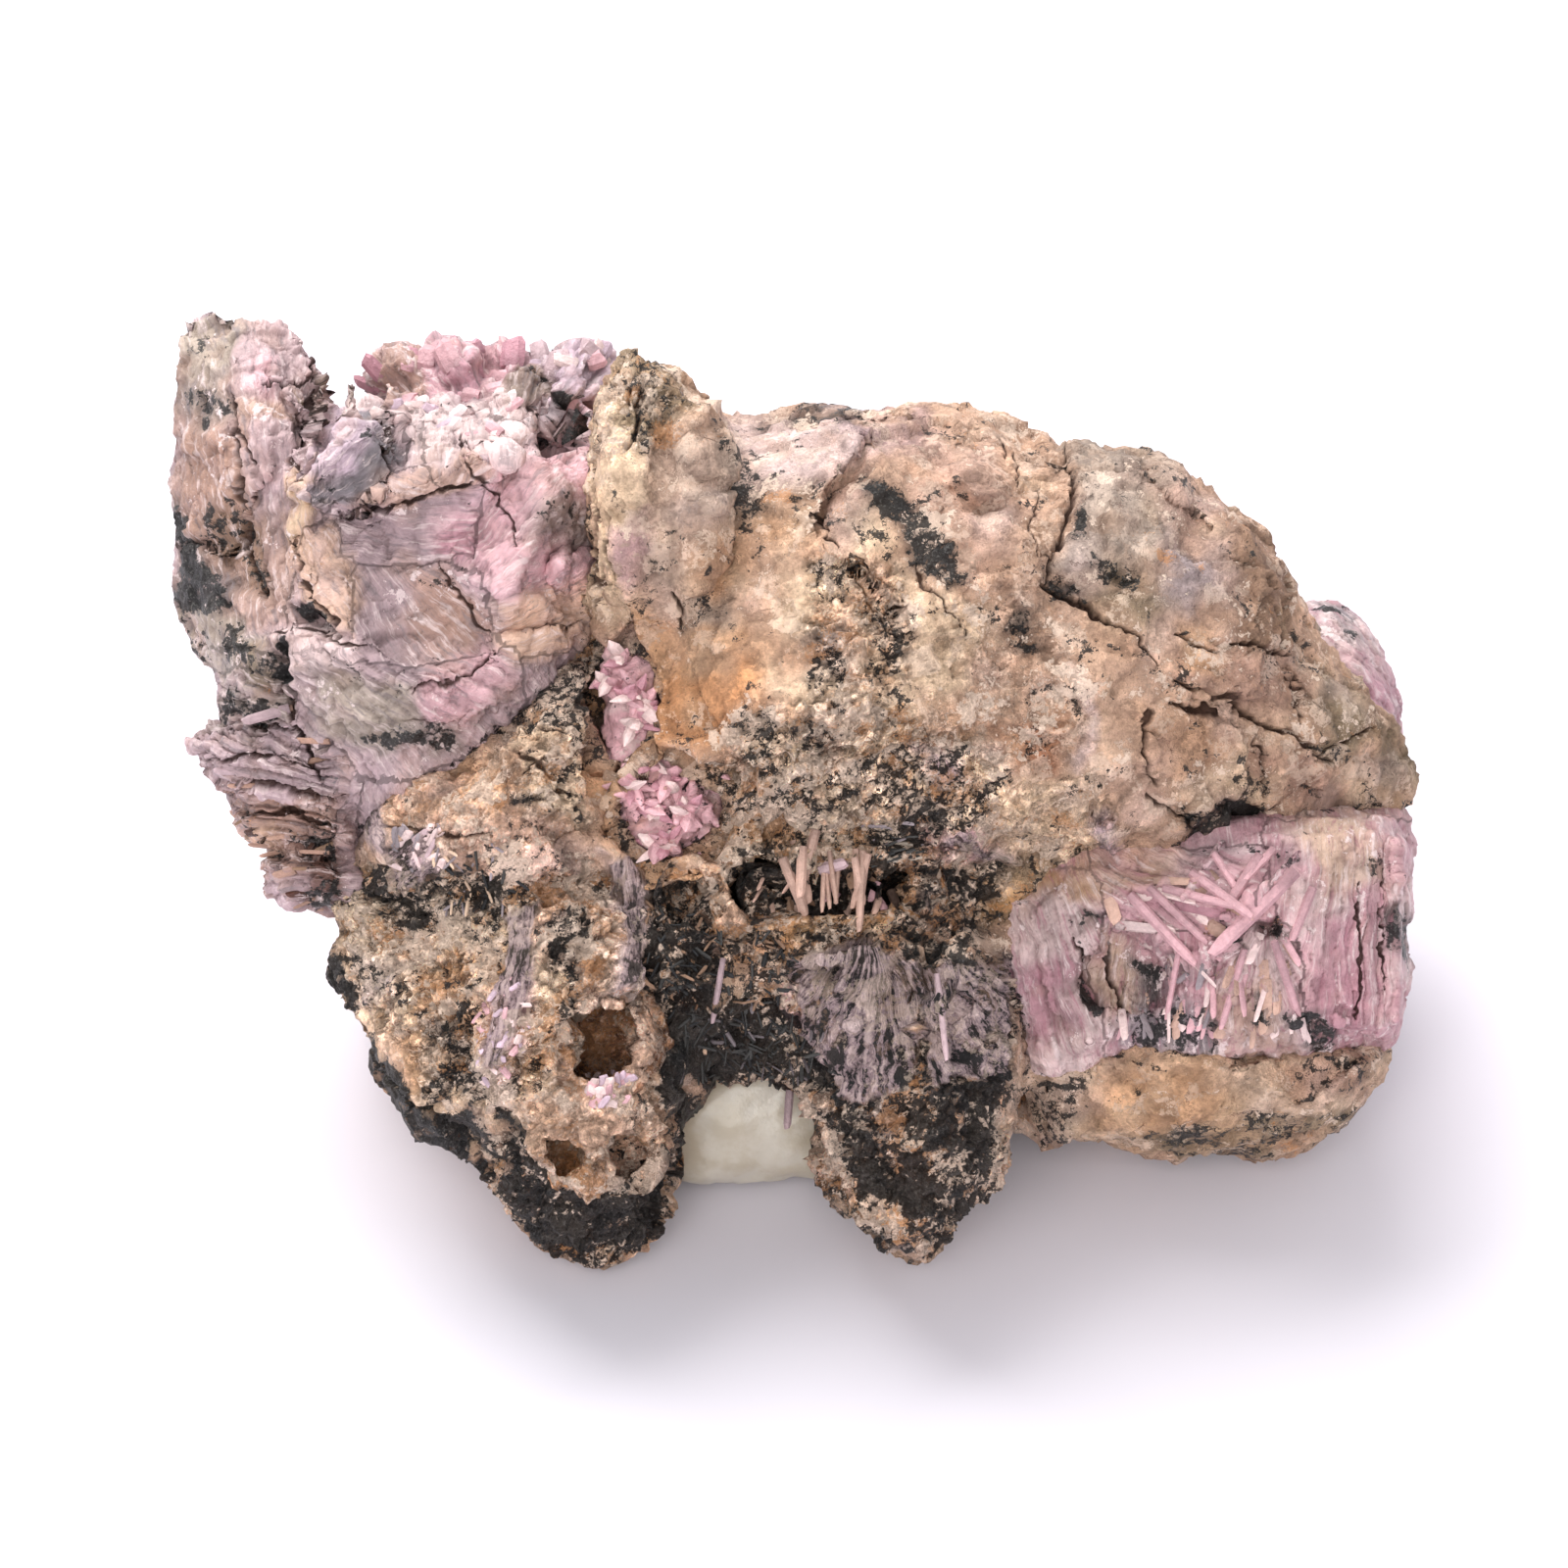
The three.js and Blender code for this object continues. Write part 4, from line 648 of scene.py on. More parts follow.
MASS_PATCHES = {
    "slab": (ROSY_TAN * 0.78, 12, 0, 0, [(165, 305), (340, 318), (330, 480), (300, 640), (172, 650)]),
    "slab_top": (SLAB_GREY, 8, -0.2, 0.2, [(185, 318), (225, 310), (240, 340), (232, 392), (190, 392)]),
    "slab_mauve": (SOFT_MAUVE, 8, 0.5, 0, [(236, 335), (270, 320), (302, 330), (328, 385), (300, 400),
        (238, 396)]),
    "slab_pink": (PINK, 5, 0.3, 0, [(262, 372), (284, 366), (290, 392), (264, 404)]),
    "slab_lilac": (SOFT_MAUVE, 5, -0.6, 0, [(298, 400), (328, 392), (320, 446), (302, 462)]),
    "slab_middle": (ROSY_TAN, 6, 0.3, 0, [(240, 402), (298, 402), (298, 450), (262, 470), (240, 440)]),
    "slab_smudge": (GREY_GREEN, 12, 0, 0.44, [(178, 388), (234, 386), (238, 420), (215, 436), (178, 425)]),
    "slab_low": (PINK_BROWN, 7, 0.6, 0, [(188, 440), (236, 436), (252, 500), (234, 555), (186, 548)]),
    "slab_strip": (SOFT_MAUVE, 6, 0.2, 0, [(243, 432), (300, 425), (306, 470), (285, 515), (262, 520)]),
    "slab_left": (CHARCOAL, 8, 0, 0.66, [(168, 508), (186, 505), (206, 560), (236, 610), (210, 632),
        (174, 610)]),
    "slab_dark": (BROWN, 7, -0.9, 0.45, [(212, 560), (238, 512), (264, 530), (275, 610), (240, 600)]),
    "slab_foot": (SLAB_GREY, 6, 0.3, 0.3, [(190, 612), (262, 627), (280, 680), (240, 700), (200, 668)]),
    "cleft": (OLIVE, 8, -0.5, 0, [(316, 345), (345, 360), (372, 400), (350, 420), (324, 410)]),
    "knob": (BLUE_GREY * 0.8, 5, 0, 0.2, [(303, 483), (345, 430), (392, 424), (396, 500), (345, 522),
        (310, 512)]),
    "knob_top": (LILAC, 7, 0.2, 0, [(302, 478), (340, 430), (372, 428), (345, 466), (318, 498)]),
    "knob_rim": (PALE_PINK, 5, 0.2, 0, [(338, 405), (385, 402), (394, 424), (350, 432)]),
    "lip": (ROSY_TAN, 5, 0.4, 0, [(398, 488), (478, 455), (486, 488), (440, 503), (392, 516), (350, 522)]),
    "points": (PALE_PINK, 6, 0.7, 0, [(396, 420), (460, 405), (468, 462), (410, 470)]),
    "points_2": (PALE_PINK, 6, 0.7, 0, [(462, 430), (500, 388), (545, 430), (555, 478), (486, 480)]),
    "face": (SOFT_MAUVE * 0.74, 10, 0, 0, [(335, 520), (400, 516), (486, 492), (500, 560), (470, 580),
        (350, 575)]),
    "face_pink": (LILAC, 9, 0.2, 0, [(474, 500), (540, 495), (520, 545), (484, 550)]),
    "pink": (PINK * 1.25, 14, 0.3, 0, [(490, 480), (616, 450), (618, 610), (520, 620), (456, 570)]),
    "pink_edge": (SOFT_ROSE, 6, 0.2, 0, [(452, 566), (482, 530), (520, 528), (505, 560), (470, 590)]),
    "pink_grey": (GREY_GREEN, 12, 0, 0.44, [(550, 520), (596, 515), (600, 552), (570, 572), (548, 552)]),
    "lower_face": (SOFT_MAUVE * 0.76, 10, -0.3, 0.2, [(355, 578), (448, 576), (495, 650), (485, 672),
        (420, 690), (352, 640)]),
    "lower_brown": (PINK_BROWN, 12, 0, 0, [(430, 590), (454, 590), (500, 655), (470, 672), (430, 650)]),
    "ridge": (PEACH, 5, 0.8, 0, [(292, 480), (318, 488), (320, 535), (340, 580), (352, 645), (332, 652),
        (298, 560)]),
    "ridge_light": (CREAM, 5, 0.2, 0, [(296, 490), (314, 492), (318, 528), (300, 545)]),
    "columns": (PEACH, 6, 0.2, 0, [(322, 535), (340, 540), (366, 600), (362, 655), (350, 640), (340, 580)]),
    "bottom_peach": (PEACH * 1.1, 10, 0.3, 0, [(500, 620), (606, 590), (608, 650), (560, 670), (505, 668)]),
    "bottom_pink": (PINK, 7, 0.4, 0, [(425, 675), (512, 664), (520, 700), (470, 742), (425, 740)]),
    "foot_lens": (PALE_PINK, 4, 0.7, 0, [(276, 650), (320, 642), (372, 662), (366, 686), (300, 690)]),
    "nodule": (OLIVE, 5, 0.6, 0.46, [(248, 660), (286, 664), (292, 690), (262, 702)]),
    "streaks": (SLAB_GREY, 8, 0, 0.2, [(310, 690), (420, 694), (435, 750), (380, 775), (330, 755)]),
    "foot": (GREY_GREEN, 8, -0.2, 0.58, [(345, 748), (410, 735), (478, 725), (470, 765), (380, 775)]),
    "hole": (BLACK, 4, -1.5, 0.9, [(306, 634), (330, 626), (344, 646), (318, 654)]),
    "hole_2": (BLACK, 4, -1.2, 0.9, [(284, 666), (297, 662), (300, 692), (286, 694)]),
    "hole_3": (BLACK, 4, -0.8, 0.8, [(300, 616), (322, 620), (318, 638), (304, 636)]),
    "crest_left": (PINK_BROWN, 8, 0, 0, [(365, 350), (437, 350), (440, 400), (380, 415)]),
    "crest_pink": (SOFT_ROSE, 8, 0, 0, [(430, 340), (540, 345), (545, 400), (440, 410)]),
    "crest_top": (PINK, 6, 0.3, 0, [(476, 342), (532, 346), (530, 370), (478, 372)]),
    "crest_right": (LILAC, 8, 0, 0, [(536, 344), (645, 344), (640, 430), (560, 415)]),
    "inclusion": (OLIVE, 5, 0.3, 0.3, [(514, 380), (555, 368), (556, 412), (520, 420)]),
    "notch": (DARK_RUST, 5, -2.2, 0.6, [(540, 418), (600, 410), (590, 458), (562, 464)]),
    "plates": (SOFT_MAUVE * 0.85, 8, 0, 0, [(193, 735), (320, 715), (345, 800), (330, 830), (215, 815)]),
    "plates_top": (GREY_GREEN, 7, 0, 0.5, [(212, 705), (300, 695), (305, 732), (208, 745)]),
    "plates_brown": (PINK_BROWN, 7, 0, 0.3, [(225, 812), (345, 812), (352, 905), (262, 895)]),
    "plates_dark": (DARK_RUST, 8, -0.6, 0.6, [(295, 865), (352, 845), (352, 950), (310, 935)]),
    "plates_tip": (PEACH, 6, 0, 0, [(232, 838), (278, 842), (276, 878), (250, 880)]),
}
MASS_CRACKS = {
    "slab_1": (6, 0.7, [(306, 350), (322, 385), (318, 425), (300, 460)]),
    "slab_2": (5, 0.6, [(236, 400), (244, 440), (262, 470)]),
    "slab_3": (6, 0.8, [(240, 436), (250, 500), (245, 560), (270, 610)]),
    "slab_4": (4, 0.4, [(262, 400), (300, 398), (325, 380)]),
    "slab_5": (5, 0.6, [(300, 460), (304, 480), (302, 510)]),
    "cut_1": (6, 0.9, [(346, 526), (390, 520), (430, 506), (480, 490)]),
    "cut_2": (4, 0.4, [(468, 444), (480, 482), (504, 508), (520, 528), (530, 560)]),
    "cut_3": (4, 0.4, [(448, 574), (470, 612), (500, 652)]),
    "cut_4": (5, 0.6, [(296, 545), (318, 590), (342, 630), (350, 650)]),
    "cut_5": (7, 1.0, [(287, 690), (300, 736), (320, 770), (330, 800)]),
    "cut_6": (5, 0.5, [(276, 650), (320, 642), (370, 660)]),
    "cut_7": (4, 0.5, [(420, 705), (470, 690), (506, 668)]),
    "plates_1": (5, 0.9, [(205, 752), (260, 742), (318, 748)]),
    "plates_2": (5, 0.9, [(200, 775), (260, 770), (330, 785)]),
    "plates_3": (6, 1.1, [(222, 802), (280, 800), (345, 822)]),
    "plates_4": (6, 1.1, [(240, 832), (300, 828), (350, 850)]),
    "plates_5": (6, 1.1, [(258, 862), (300, 862), (350, 885)]),
    "knob": (5, 0.6, [(388, 440), (398, 480), (394, 508)]),
}
# Flat faces of the mass: corners as drawn points with their distance towards the eye in millimetres, and
# faces by their corners
MASS_CORNERS = {
    "a": (308, 492, 9.0), "b": (333, 448, 8.0), "c": (360, 414, 7.5), "d": (384, 405, 7.0),
    "e": (395, 436, 9.5), "f": (400, 470, 12.0), "g": (386, 500, 12.5), "h": (357, 519, 11.5),
    "i": (328, 512, 10.0), "j": (322, 484, 12.5), "k": (352, 453, 14.2), "l": (380, 440, 13.2),
    "m": (172, 330, -7.0), "n": (205, 305, -8.5), "o": (240, 330, -4.2), "p": (298, 322, -7.0),
    "q": (338, 392, -4.5), "r": (305, 455, 4.4), "s": (262, 420, 2.7), "t": (226, 390, -0.7),
    "u": (176, 400, -6.4), "v": (170, 470, -6.6), "w": (232, 440, 0.9), "x": (262, 500, 3.5),
    "y": (240, 560, 0.8), "z": (176, 560, -5.0), "A": (340, 525, 8.5), "B": (398, 500, 12.4),
    "C": (478, 470, 12.2), "D": (470, 445, 7.2), "E": (420, 440, 6.2), "G": (548, 430, 6.8),
    "H": (612, 466, 4.0), "I": (500, 520, 11.0), "J": (452, 572, 11.2), "K": (350, 575, 10.2),
    "L": (560, 520, 12.3), "M": (602, 560, 3.0), "N": (596, 636, 6.5), "O": (520, 610, 13.1),
    "P": (500, 655, 11.2), "Q": (440, 640, 10.8), "R": (356, 640, 12.1), "S": (430, 690, 12.8),
    "T": (510, 690, 12.0), "U": (470, 736, 10.0), "V": (380, 740, 11.2), "W": (318, 700, 9.6),
    "X": (300, 560, 6.6), "Y": (300, 640, 7.0),
}
MASS_FACES = ("abj bkj bck clk cdl del aji jkh jhi klf kfg kgh lef mnt mtu not ost ops pqs qrs utw uwv "
              "tsw sxw srx vwz wyz wxy ABJ AJK BCI BIJ CGI EDC ECB GHL GLI HML LMO ILO IOJ JOP JPQ KJQ "
              "KQR MNO ONP RQS QPT QTS STU SUV RSV RVW WRY AKX KRY KYX")
# Fibres: width and depth in millimetres, the point that they spread from, outline
MASS_FIBRES = {
    "slab": (1.5, 0.14, (330, 980), [(165, 300), (340, 330), (330, 520), (290, 660), (170, 640)]),
    "knob": (1.3, 0.1, (180, 640), [(300, 400), (400, 400), (400, 520), (300, 520)]),
    "face": (1.7, 0.12, (-100, 480), [(335, 500), (500, 480), (500, 580), (340, 580)]),
    "lower": (1.7, 0.12, (240, 420), [(350, 575), (500, 575), (515, 680), (350, 680)]),
    "pink": (1.5, 0.14, (380, 700), [(440, 440), (620, 440), (620, 650), (470, 660)]),
    "columns": (1.0, 0.3, (250, 440), [(280, 520), (366, 540), (370, 660), (290, 660)]),
    "streaks": (0.9, 0.4, (150, 560), [(290, 680), (520, 660), (520, 740), (380, 790), (300, 760)]),
    "plates": (0.9, 1.0, (900, 960), [(185, 690), (352, 700), (360, 950), (190, 900)]),
    "crest": (1.8, 0.7, (520, 470), [(360, 335), (650, 335), (650, 430), (370, 420)]),
}

VEIN_PATCHES = {
    "peach_top": (PEACH, 10, 0.3, 0, [(1080, 866), (1210, 868), (1200, 910), (1100, 915)]),
    "honey": (HONEY, 8, 0.3, 0, [(1010, 894), (1112, 892), (1118, 924), (1020, 928)]),
    "left": (PALE_PINK * 0.9, 10, 0.3, 0, [(1015, 915), (1120, 915), (1130, 1050), (1090, 1100),
        (1030, 1090)]),
    "left_dark": (SOFT_ROSE, 10, 0, 0, [(1040, 985), (1090, 975), (1100, 1040), (1070, 1070), (1045, 1050)]),
    "left_low": (PALE_PINK, 8, 0.2, 0, [(1035, 1055), (1110, 1045), (1120, 1085), (1040, 1110)]),
    "fibres": (PALE_TAN, 8, -0.3, 0, [(1125, 958), (1165, 955), (1175, 1015), (1140, 1030)]),
    "fibres_dark": (GREY_MAUVE, 8, -0.5, 0.42, [(1160, 965), (1200, 975), (1215, 1040), (1160, 1055)]),
    "base": (GREY_MAUVE, 8, -0.2, 0.46, [(1130, 1025), (1240, 1015), (1245, 1065), (1140, 1068)]),
    "middle": (PINK, 8, 0.3, 0, [(1130, 905), (1280, 885), (1300, 960), (1220, 985), (1150, 950)]),
    "fan": (PALE_PINK, 8, 0.3, 0, [(1250, 950), (1310, 950), (1335, 1070), (1240, 1070)]),
    "fan_tan": (ROSY_TAN, 9, 0, 0, [(1240, 1005), (1300, 1010), (1320, 1070), (1235, 1072)]),
    "upper_light": (PALE_PINK, 8, 0.2, 0, [(1305, 905), (1370, 910), (1370, 965), (1315, 960)]),
    "rose": (SOFT_ROSE, 12, 0, 0, [(1335, 940), (1395, 930), (1400, 1050), (1345, 1060)]),
    "right": (PINK, 9, 0.2, 0, [(1390, 860), (1445, 860), (1445, 1060), (1395, 1060)]),
    "right_light": (PALE_PINK, 8, 0, 0, [(1418, 880), (1446, 880), (1446, 1010), (1428, 1010)]),
    "cream_top": (PALE_TAN, 9, 0.2, 0.2, [(1325, 838), (1430, 838), (1430, 895), (1340, 910)]),
    "pink_top": (PINK, 8, 0.2, 0, [(1400, 838), (1446, 838), (1446, 900), (1410, 900)]),
    "shade_line": (SOFT_MAUVE, 7, -0.4, 0.5, [(1205, 858), (1330, 856), (1325, 884), (1210, 884)]),
    "rim": (PALE_TAN, 5, 0.3, 0, [(1035, 1100), (1125, 1070), (1240, 1058), (1240, 1070), (1125, 1084),
        (1040, 1116)]),
    "knob": (PALE_PINK, 6, 0, 0, [(1320, 600), (1440, 620), (1440, 740), (1360, 740)]),
    "knob_pink": (PINK, 8, 0, 0, [(1355, 660), (1420, 660), (1440, 735), (1380, 735)]),
    "knob_rose": (SOFT_ROSE, 6, 0, 0, [(1380, 695), (1436, 695), (1436, 735), (1385, 730)]),
    "knob_grey": (GREY_MAUVE, 7, 0, 0.45, [(1335, 618), (1392, 620), (1392, 648), (1340, 646)]),
    "hollow": (DARK_RUST, 5, -1.4, 0.6, [(1096, 985), (1128, 975), (1132, 1022), (1108, 1024)]),
    "spot": (CHARCOAL, 6, -0.5, 0.6, [(1106, 930), (1128, 934), (1126, 955), (1108, 952)]),
    "streak": (CHARCOAL, 6, -0.3, 0.5, [(1164, 968), (1192, 975), (1190, 1018), (1168, 1014)]),
    "low_dots": (GREY_MAUVE, 6, 0, 0.5, [(1150, 1040), (1240, 1038), (1240, 1066), (1150, 1068)]),
    "smudge": (CHARCOAL, 6, 0, 0.54, [(1318, 1038), (1352, 1036), (1358, 1076), (1325, 1078)]),
    "smudge_2": (CHARCOAL, 4, 0, 0.52, [(1284, 1024), (1300, 1022), (1300, 1044), (1286, 1042)]),
    "smudge_3": (CHARCOAL, 7, 0, 0.5, [(1407, 932), (1432, 928), (1438, 976), (1412, 982)]),
    "hole_1": (DARK_RUST, 3, -1.0, 0.6, [(1232, 938), (1252, 940), (1248, 956), (1232, 954)]),
    "hole_2": (DARK_RUST, 3, -1.0, 0.6, [(1276, 938), (1302, 938), (1298, 954), (1280, 954)]),
}
VEIN_CRACKS = {
    "left_edge": (6, 0.9, [(1100, 955), (1110, 985), (1100, 1010)]),
    "middle": (6, 0.8, [(1130, 960), (1136, 1000), (1150, 1040)]),
    "rose_side": (4, 0.5, [(1384, 900), (1388, 960), (1386, 1040)]),
    "right_side": (4, 0.5, [(1410, 870), (1408, 940), (1412, 1010)]),
}
VEIN_FIBRES = {
    "left": (1.0, 0.3, (1000, 700), [(1010, 900), (1120, 900), (1130, 1100), (1030, 1110)]),
    "middle": (0.8, 0.5, (1180, 700), [(1125, 940), (1240, 940), (1245, 1070), (1125, 1070)]),
    "blades": (1.1, 0.6, (900, 760), [(1120, 880), (1290, 870), (1260, 960), (1140, 960)]),
    "fan": (0.8, 0.5, (1286, 930), [(1240, 950), (1330, 950), (1345, 1075), (1235, 1075)]),
    "right": (1.1, 0.34, (1420, 200), [(1300, 850), (1446, 850), (1446, 1070), (1330, 1070)]),
    "knob": (0.9, 0.25, (1100, 400), [(1310, 590), (1450, 590), (1450, 745), (1330, 745)]),
}

# Sprays of blades: outline, how many, "from" a drawn point or "along" a direction, spread and lift out of the
# surface in degrees, shortest and longest, narrowest and widest, thickness against width, colours
VEIN_SPRAYS = {
    "middle": ([(1125, 905), (1275, 885), (1270, 955), (1200, 985), (1140, 945)], 22, "along", (1.0, 0.62),
        20, 2, 2.2, 4.6, 0.7, 1.3, 0.3, (PINK, SOFT_ROSE, PALE_PINK, ROSY_TAN)),
    "upright": ([(1128, 960), (1240, 970), (1240, 1060), (1135, 1062)], 30, "along", (0.1, 1.0), 20, 1.5,
        1.2, 3.4, 0.3, 0.7, 0.35, (PALE_PINK, GREY_MAUVE, ROSY_TAN, PINK)),
    "slant": ([(1190, 985), (1262, 975), (1250, 1060), (1190, 1055)], 14, "along", (-0.55, 1.0), 16, 1, 1.2,
        3.4, 0.5, 1.0, 0.35, (ROSY_TAN, PINK, PALE_PINK)),
    "fan": ([(1262, 955), (1316, 955), (1336, 1070), (1240, 1070)], 22, "from", (1286, 925), 12, 1, 1.4, 3.8,
        0.4, 1.0, 0.3, (PALE_PINK, PINK, ROSY_TAN)),
}
# Single long blades of the vein: both ends in the drawing, width in millimetres
VEIN_BLADES = {
    "long": ((1322, 888), (1236, 974), 1.3),
    "cross": ((1286, 872), (1254, 922), 0.9),
    "low": ((1215, 890), (1278, 936), 0.8),
    "left": ((1152, 912), (1220, 984), 0.9),
    "left_2": ((1172, 905), (1232, 962), 0.7),
    "top": ((1300, 866), (1268, 900), 0.7),
    "top_2": ((1238, 870), (1262, 908), 0.6),
    "flat": ((1186, 906), (1266, 926), 0.7),
    "side": ((1340, 905), (1318, 960), 0.8),
    "mid": ((1204, 965), (1190, 1040), 0.5),
    "mid_2": ((1300, 960), (1330, 1052), 0.7),
    "mid_3": ((1270, 968), (1246, 1050), 0.6),
}
ROCK_SPRAYS = {
    "mauve": ([(395, 850), (450, 845), (452, 890), (400, 896)], 26, "along", (0.7, -0.8), 24, 8, 1.4, 2.4,
        0.4, 0.9, 0.5, (PALE_PINK, SOFT_MAUVE, GREY_MAUVE)),
    "silver": ([(440, 862), (530, 862), (530, 930), (440, 930)], 40, "along", (0.5, 1.0), 45, 5, 1.2, 2.2,
        0.2, 0.4, 0.6, (GREY_MAUVE, CHARCOAL, PALE_TAN, BLACK)),
    "lobe_pink": ([(498, 995), (540, 990), (542, 1060), (505, 1110), (478, 1100)], 30, "along", (0.3, 1.0),
        60, 8, 0.7, 1.4, 0.4, 0.9, 0.5, (PINK, PALE_PINK, LILAC)),
    "cavity": ([(596, 1095), (645, 1092), (645, 1132), (600, 1130)], 26, "along", (0.2, -1.0), 60, 16, 0.8,
        1.4, 0.5, 1.0, 0.7, (PALE_PINK, LILAC, PINK)),
    "slit": ([(770, 892), (930, 888), (925, 935), (770, 938)], 26, "along", (0.05, 1.0), 14, 8, 1.2, 2.0,
        0.4, 1.0, 0.6, (PINK, ROSY_TAN, BROWN)),
    "lens_dark": ([(882, 842), (940, 838), (944, 880), (886, 884)], 30, "along", (1.0, -0.15), 16, 5, 1.2,
        2.2, 0.18, 0.4, 0.5, (CHARCOAL, GREY_MAUVE, BLACK, SLAB_GREY)),
    "fringe": ([(690, 1035), (760, 1020), (840, 1040), (850, 1105), (700, 1105)], 150, "along", (0.15, 1.0),
        50, 14, 0.9, 2.0, 0.14, 0.38, 0.7, (BLACK, CHARCOAL, GREY_MAUVE * 0.5, CHARCOAL, CHARCOAL)),
    "beside": ([(655, 915), (722, 930), (735, 1020), (690, 1040), (655, 1010)], 90, "along", (0.3, 1.0), 55,
        12, 0.8, 1.7, 0.15, 0.4, 0.7, (BLACK, CHARCOAL, BLACK, BROWN)),
    "low_slit": ([(722, 945), (800, 950), (835, 1020), (740, 1035)], 60, "along", (0.2, 1.0), 50, 12, 0.9,
        1.3, 0.2, 0.5, 0.6, (BROWN, CHARCOAL, BLACK, BROWN, BLACK)),
}
# Silky needles in the rock: width and depth in millimetres, the point that they spread from, outline
ROCK_SILK = {
    "fan": (0.9, 0.5, (892, 935), [(812, 985), (890, 955), (945, 1000), (930, 1110), (866, 1135),
        (820, 1060)]),
    "fan_right": (0.8, 0.4, (930, 900), [(940, 985), (1030, 985), (1030, 1100), (955, 1105)]),
    "column": (0.8, 0.5, (640, 400), [(626, 872), (654, 868), (658, 1000), (632, 1004)]),
    "lobe": (0.8, 0.4, (560, 800), [(514, 925), (546, 925), (540, 1010), (505, 1090), (484, 1085)]),
    "flank": (0.9, 0.4, (230, 640), [(305, 750), (335, 750), (398, 835), (392, 865), (330, 800)]),
    "lens": (0.8, 0.4, (700, 700), [(938, 852), (985, 842), (1030, 866), (1034, 880), (985, 872)]),
    "mauve": (0.8, 0.4, (330, 930), [(395, 850), (450, 845), (452, 890), (400, 896)]),
}
# Flat faces of the rock
ROCK_CORNERS = {
    "c": (860, 420, 0.0), "d": (900, 480, 0.8), "e": (830, 560, 0.4),
    "g": (980, 430, 0.3), "h": (1060, 470, 0.8),
    "i": (1010, 560, 0.5), "j": (920, 620, 0.7), "k": (1090, 560, -0.4), "l": (1180, 490, 0.8),
    "m": (1260, 560, 0.6), "n": (1190, 600, 1.0), "o": (1120, 680, 0.6), "p": (1040, 700, -0.5),
    "q": (1300, 650, 0.8), "r": (1220, 690, -0.3), "s": (1150, 780, 0.7), "t": (1050, 820, 0.2),
    "u": (1340, 730, 0.6), "v": (1280, 770, 0.6), "w": (1240, 830, -0.2), "x": (1400, 780, 0.3),
    "y": (1180, 850, 0.2), "z": (960, 740, 0.5), "A": (1330, 820, 0.0), "B": (1060, 1100, 0.2),
    "C": (1150, 1080, 0.6), "D": (1260, 1085, 0.7), "E": (1390, 1080, 0.2), "F": (1330, 1130, 0.5),
    "G": (1200, 1150, 0.6), "H": (1100, 1160, 0.2),
}
ROCK_FACES = ("cde dej cgd gdi ghi dij hik hlk lnk lmn kno kop ikp ijp jpz mqn nqr nro ors "
              "opt ost ptz quv qvr vrw rws swy sty uxv xvA vAw BCH CGH CDG DFG DEF")
ROCK_BLADES = {
    "pale": ((738, 978), (727, 1044), 0.5),
    "finger": ((764, 1112), (757, 1150), 0.8),
    "finger_2": ((806, 1112), (803, 1152), 0.7),
    "finger_3": ((784, 1105), (780, 1136), 0.6),
    "blade": ((956, 993), (966, 1082), 0.5),
    "white": ((836, 888), (864, 880), 1.0),
}
ROCK_PILLARS = {
    "first": ((812, 880), (818, 940), 2.0),
    "second": ((880, 882), (874, 934), 1.5),
    "third": ((846, 880), (852, 940), 1.0),
}
MASS_SPRAYS = {
    "points": ([(398, 412), (462, 398), (470, 440), (405, 448)], 8, "along", (0.2, -1.0), 40, 4, 0.8, 1.7,
        0.9, 1.6, 0.6, (PALE_PINK, WHITE_PINK, LILAC)),
    "points_2": ([(462, 425), (500, 385), (548, 420), (545, 450), (470, 455)], 8, "along", (0.2, -1.0), 45,
        4, 0.8, 1.7, 0.9, 1.6, 0.6, (PALE_PINK, WHITE_PINK, PINK)),
    "crest": ([(368, 350), (540, 342), (545, 405), (380, 412)], 22, "along", (0.0, -1.0), 75, 8, 1.0, 2.6,
        1.4, 3.0, 0.45, (SOFT_ROSE, PINK, SOFT_ROSE, PINK)),
    "crest_right": ([(540, 345), (642, 345), (636, 425), (556, 415)], 14, "along", (0.2, -1.0), 70, 8, 1.0,
        2.2, 1.2, 2.4, 0.45, (LILAC, PALE_PINK, SOFT_MAUVE, PINK)),
    "plates": ([(195, 730), (320, 712), (345, 800), (350, 900), (260, 890)], 14, "along", (-1.0, 0.12), 5,
        0.2, 2.0, 3.5, 0.4, 0.9, 0.4, (SOFT_MAUVE, PINK_BROWN, GREY_MAUVE)),
    "plates_low": ([(232, 830), (345, 830), (350, 940), (300, 925)], 12, "along", (-1.0, 0.3), 10, 0.5, 1.6,
        2.6, 0.3, 0.8, 0.4, (PINK_BROWN, BROWN, DARK_RUST)),
}
# Bursts of crystals in the hollow: middle in the drawing, reach in millimetres, how many
BURSTS = {
    "star": ((642, 802), 2.3, 12), "star_2": ((722, 786), 2.2, 12), "star_3": ((676, 862), 2.2, 12),
    "lump": ((646, 708), 1.7, 12), "lump_2": ((648, 742), 1.8, 12), "lump_3": ((622, 698), 1.5, 9),
    "side": ((700, 828), 1.8, 10), "side_2": ((662, 826), 1.6, 9), "low": ((706, 876), 1.5, 9),
    "top": ((632, 676), 1.3, 7), "foot": ((726, 860), 1.4, 7), "lump_4": ((660, 722), 1.5, 9),
    "mid": ((684, 800), 1.5, 9), "mid_2": ((660, 780), 1.4, 9),
}


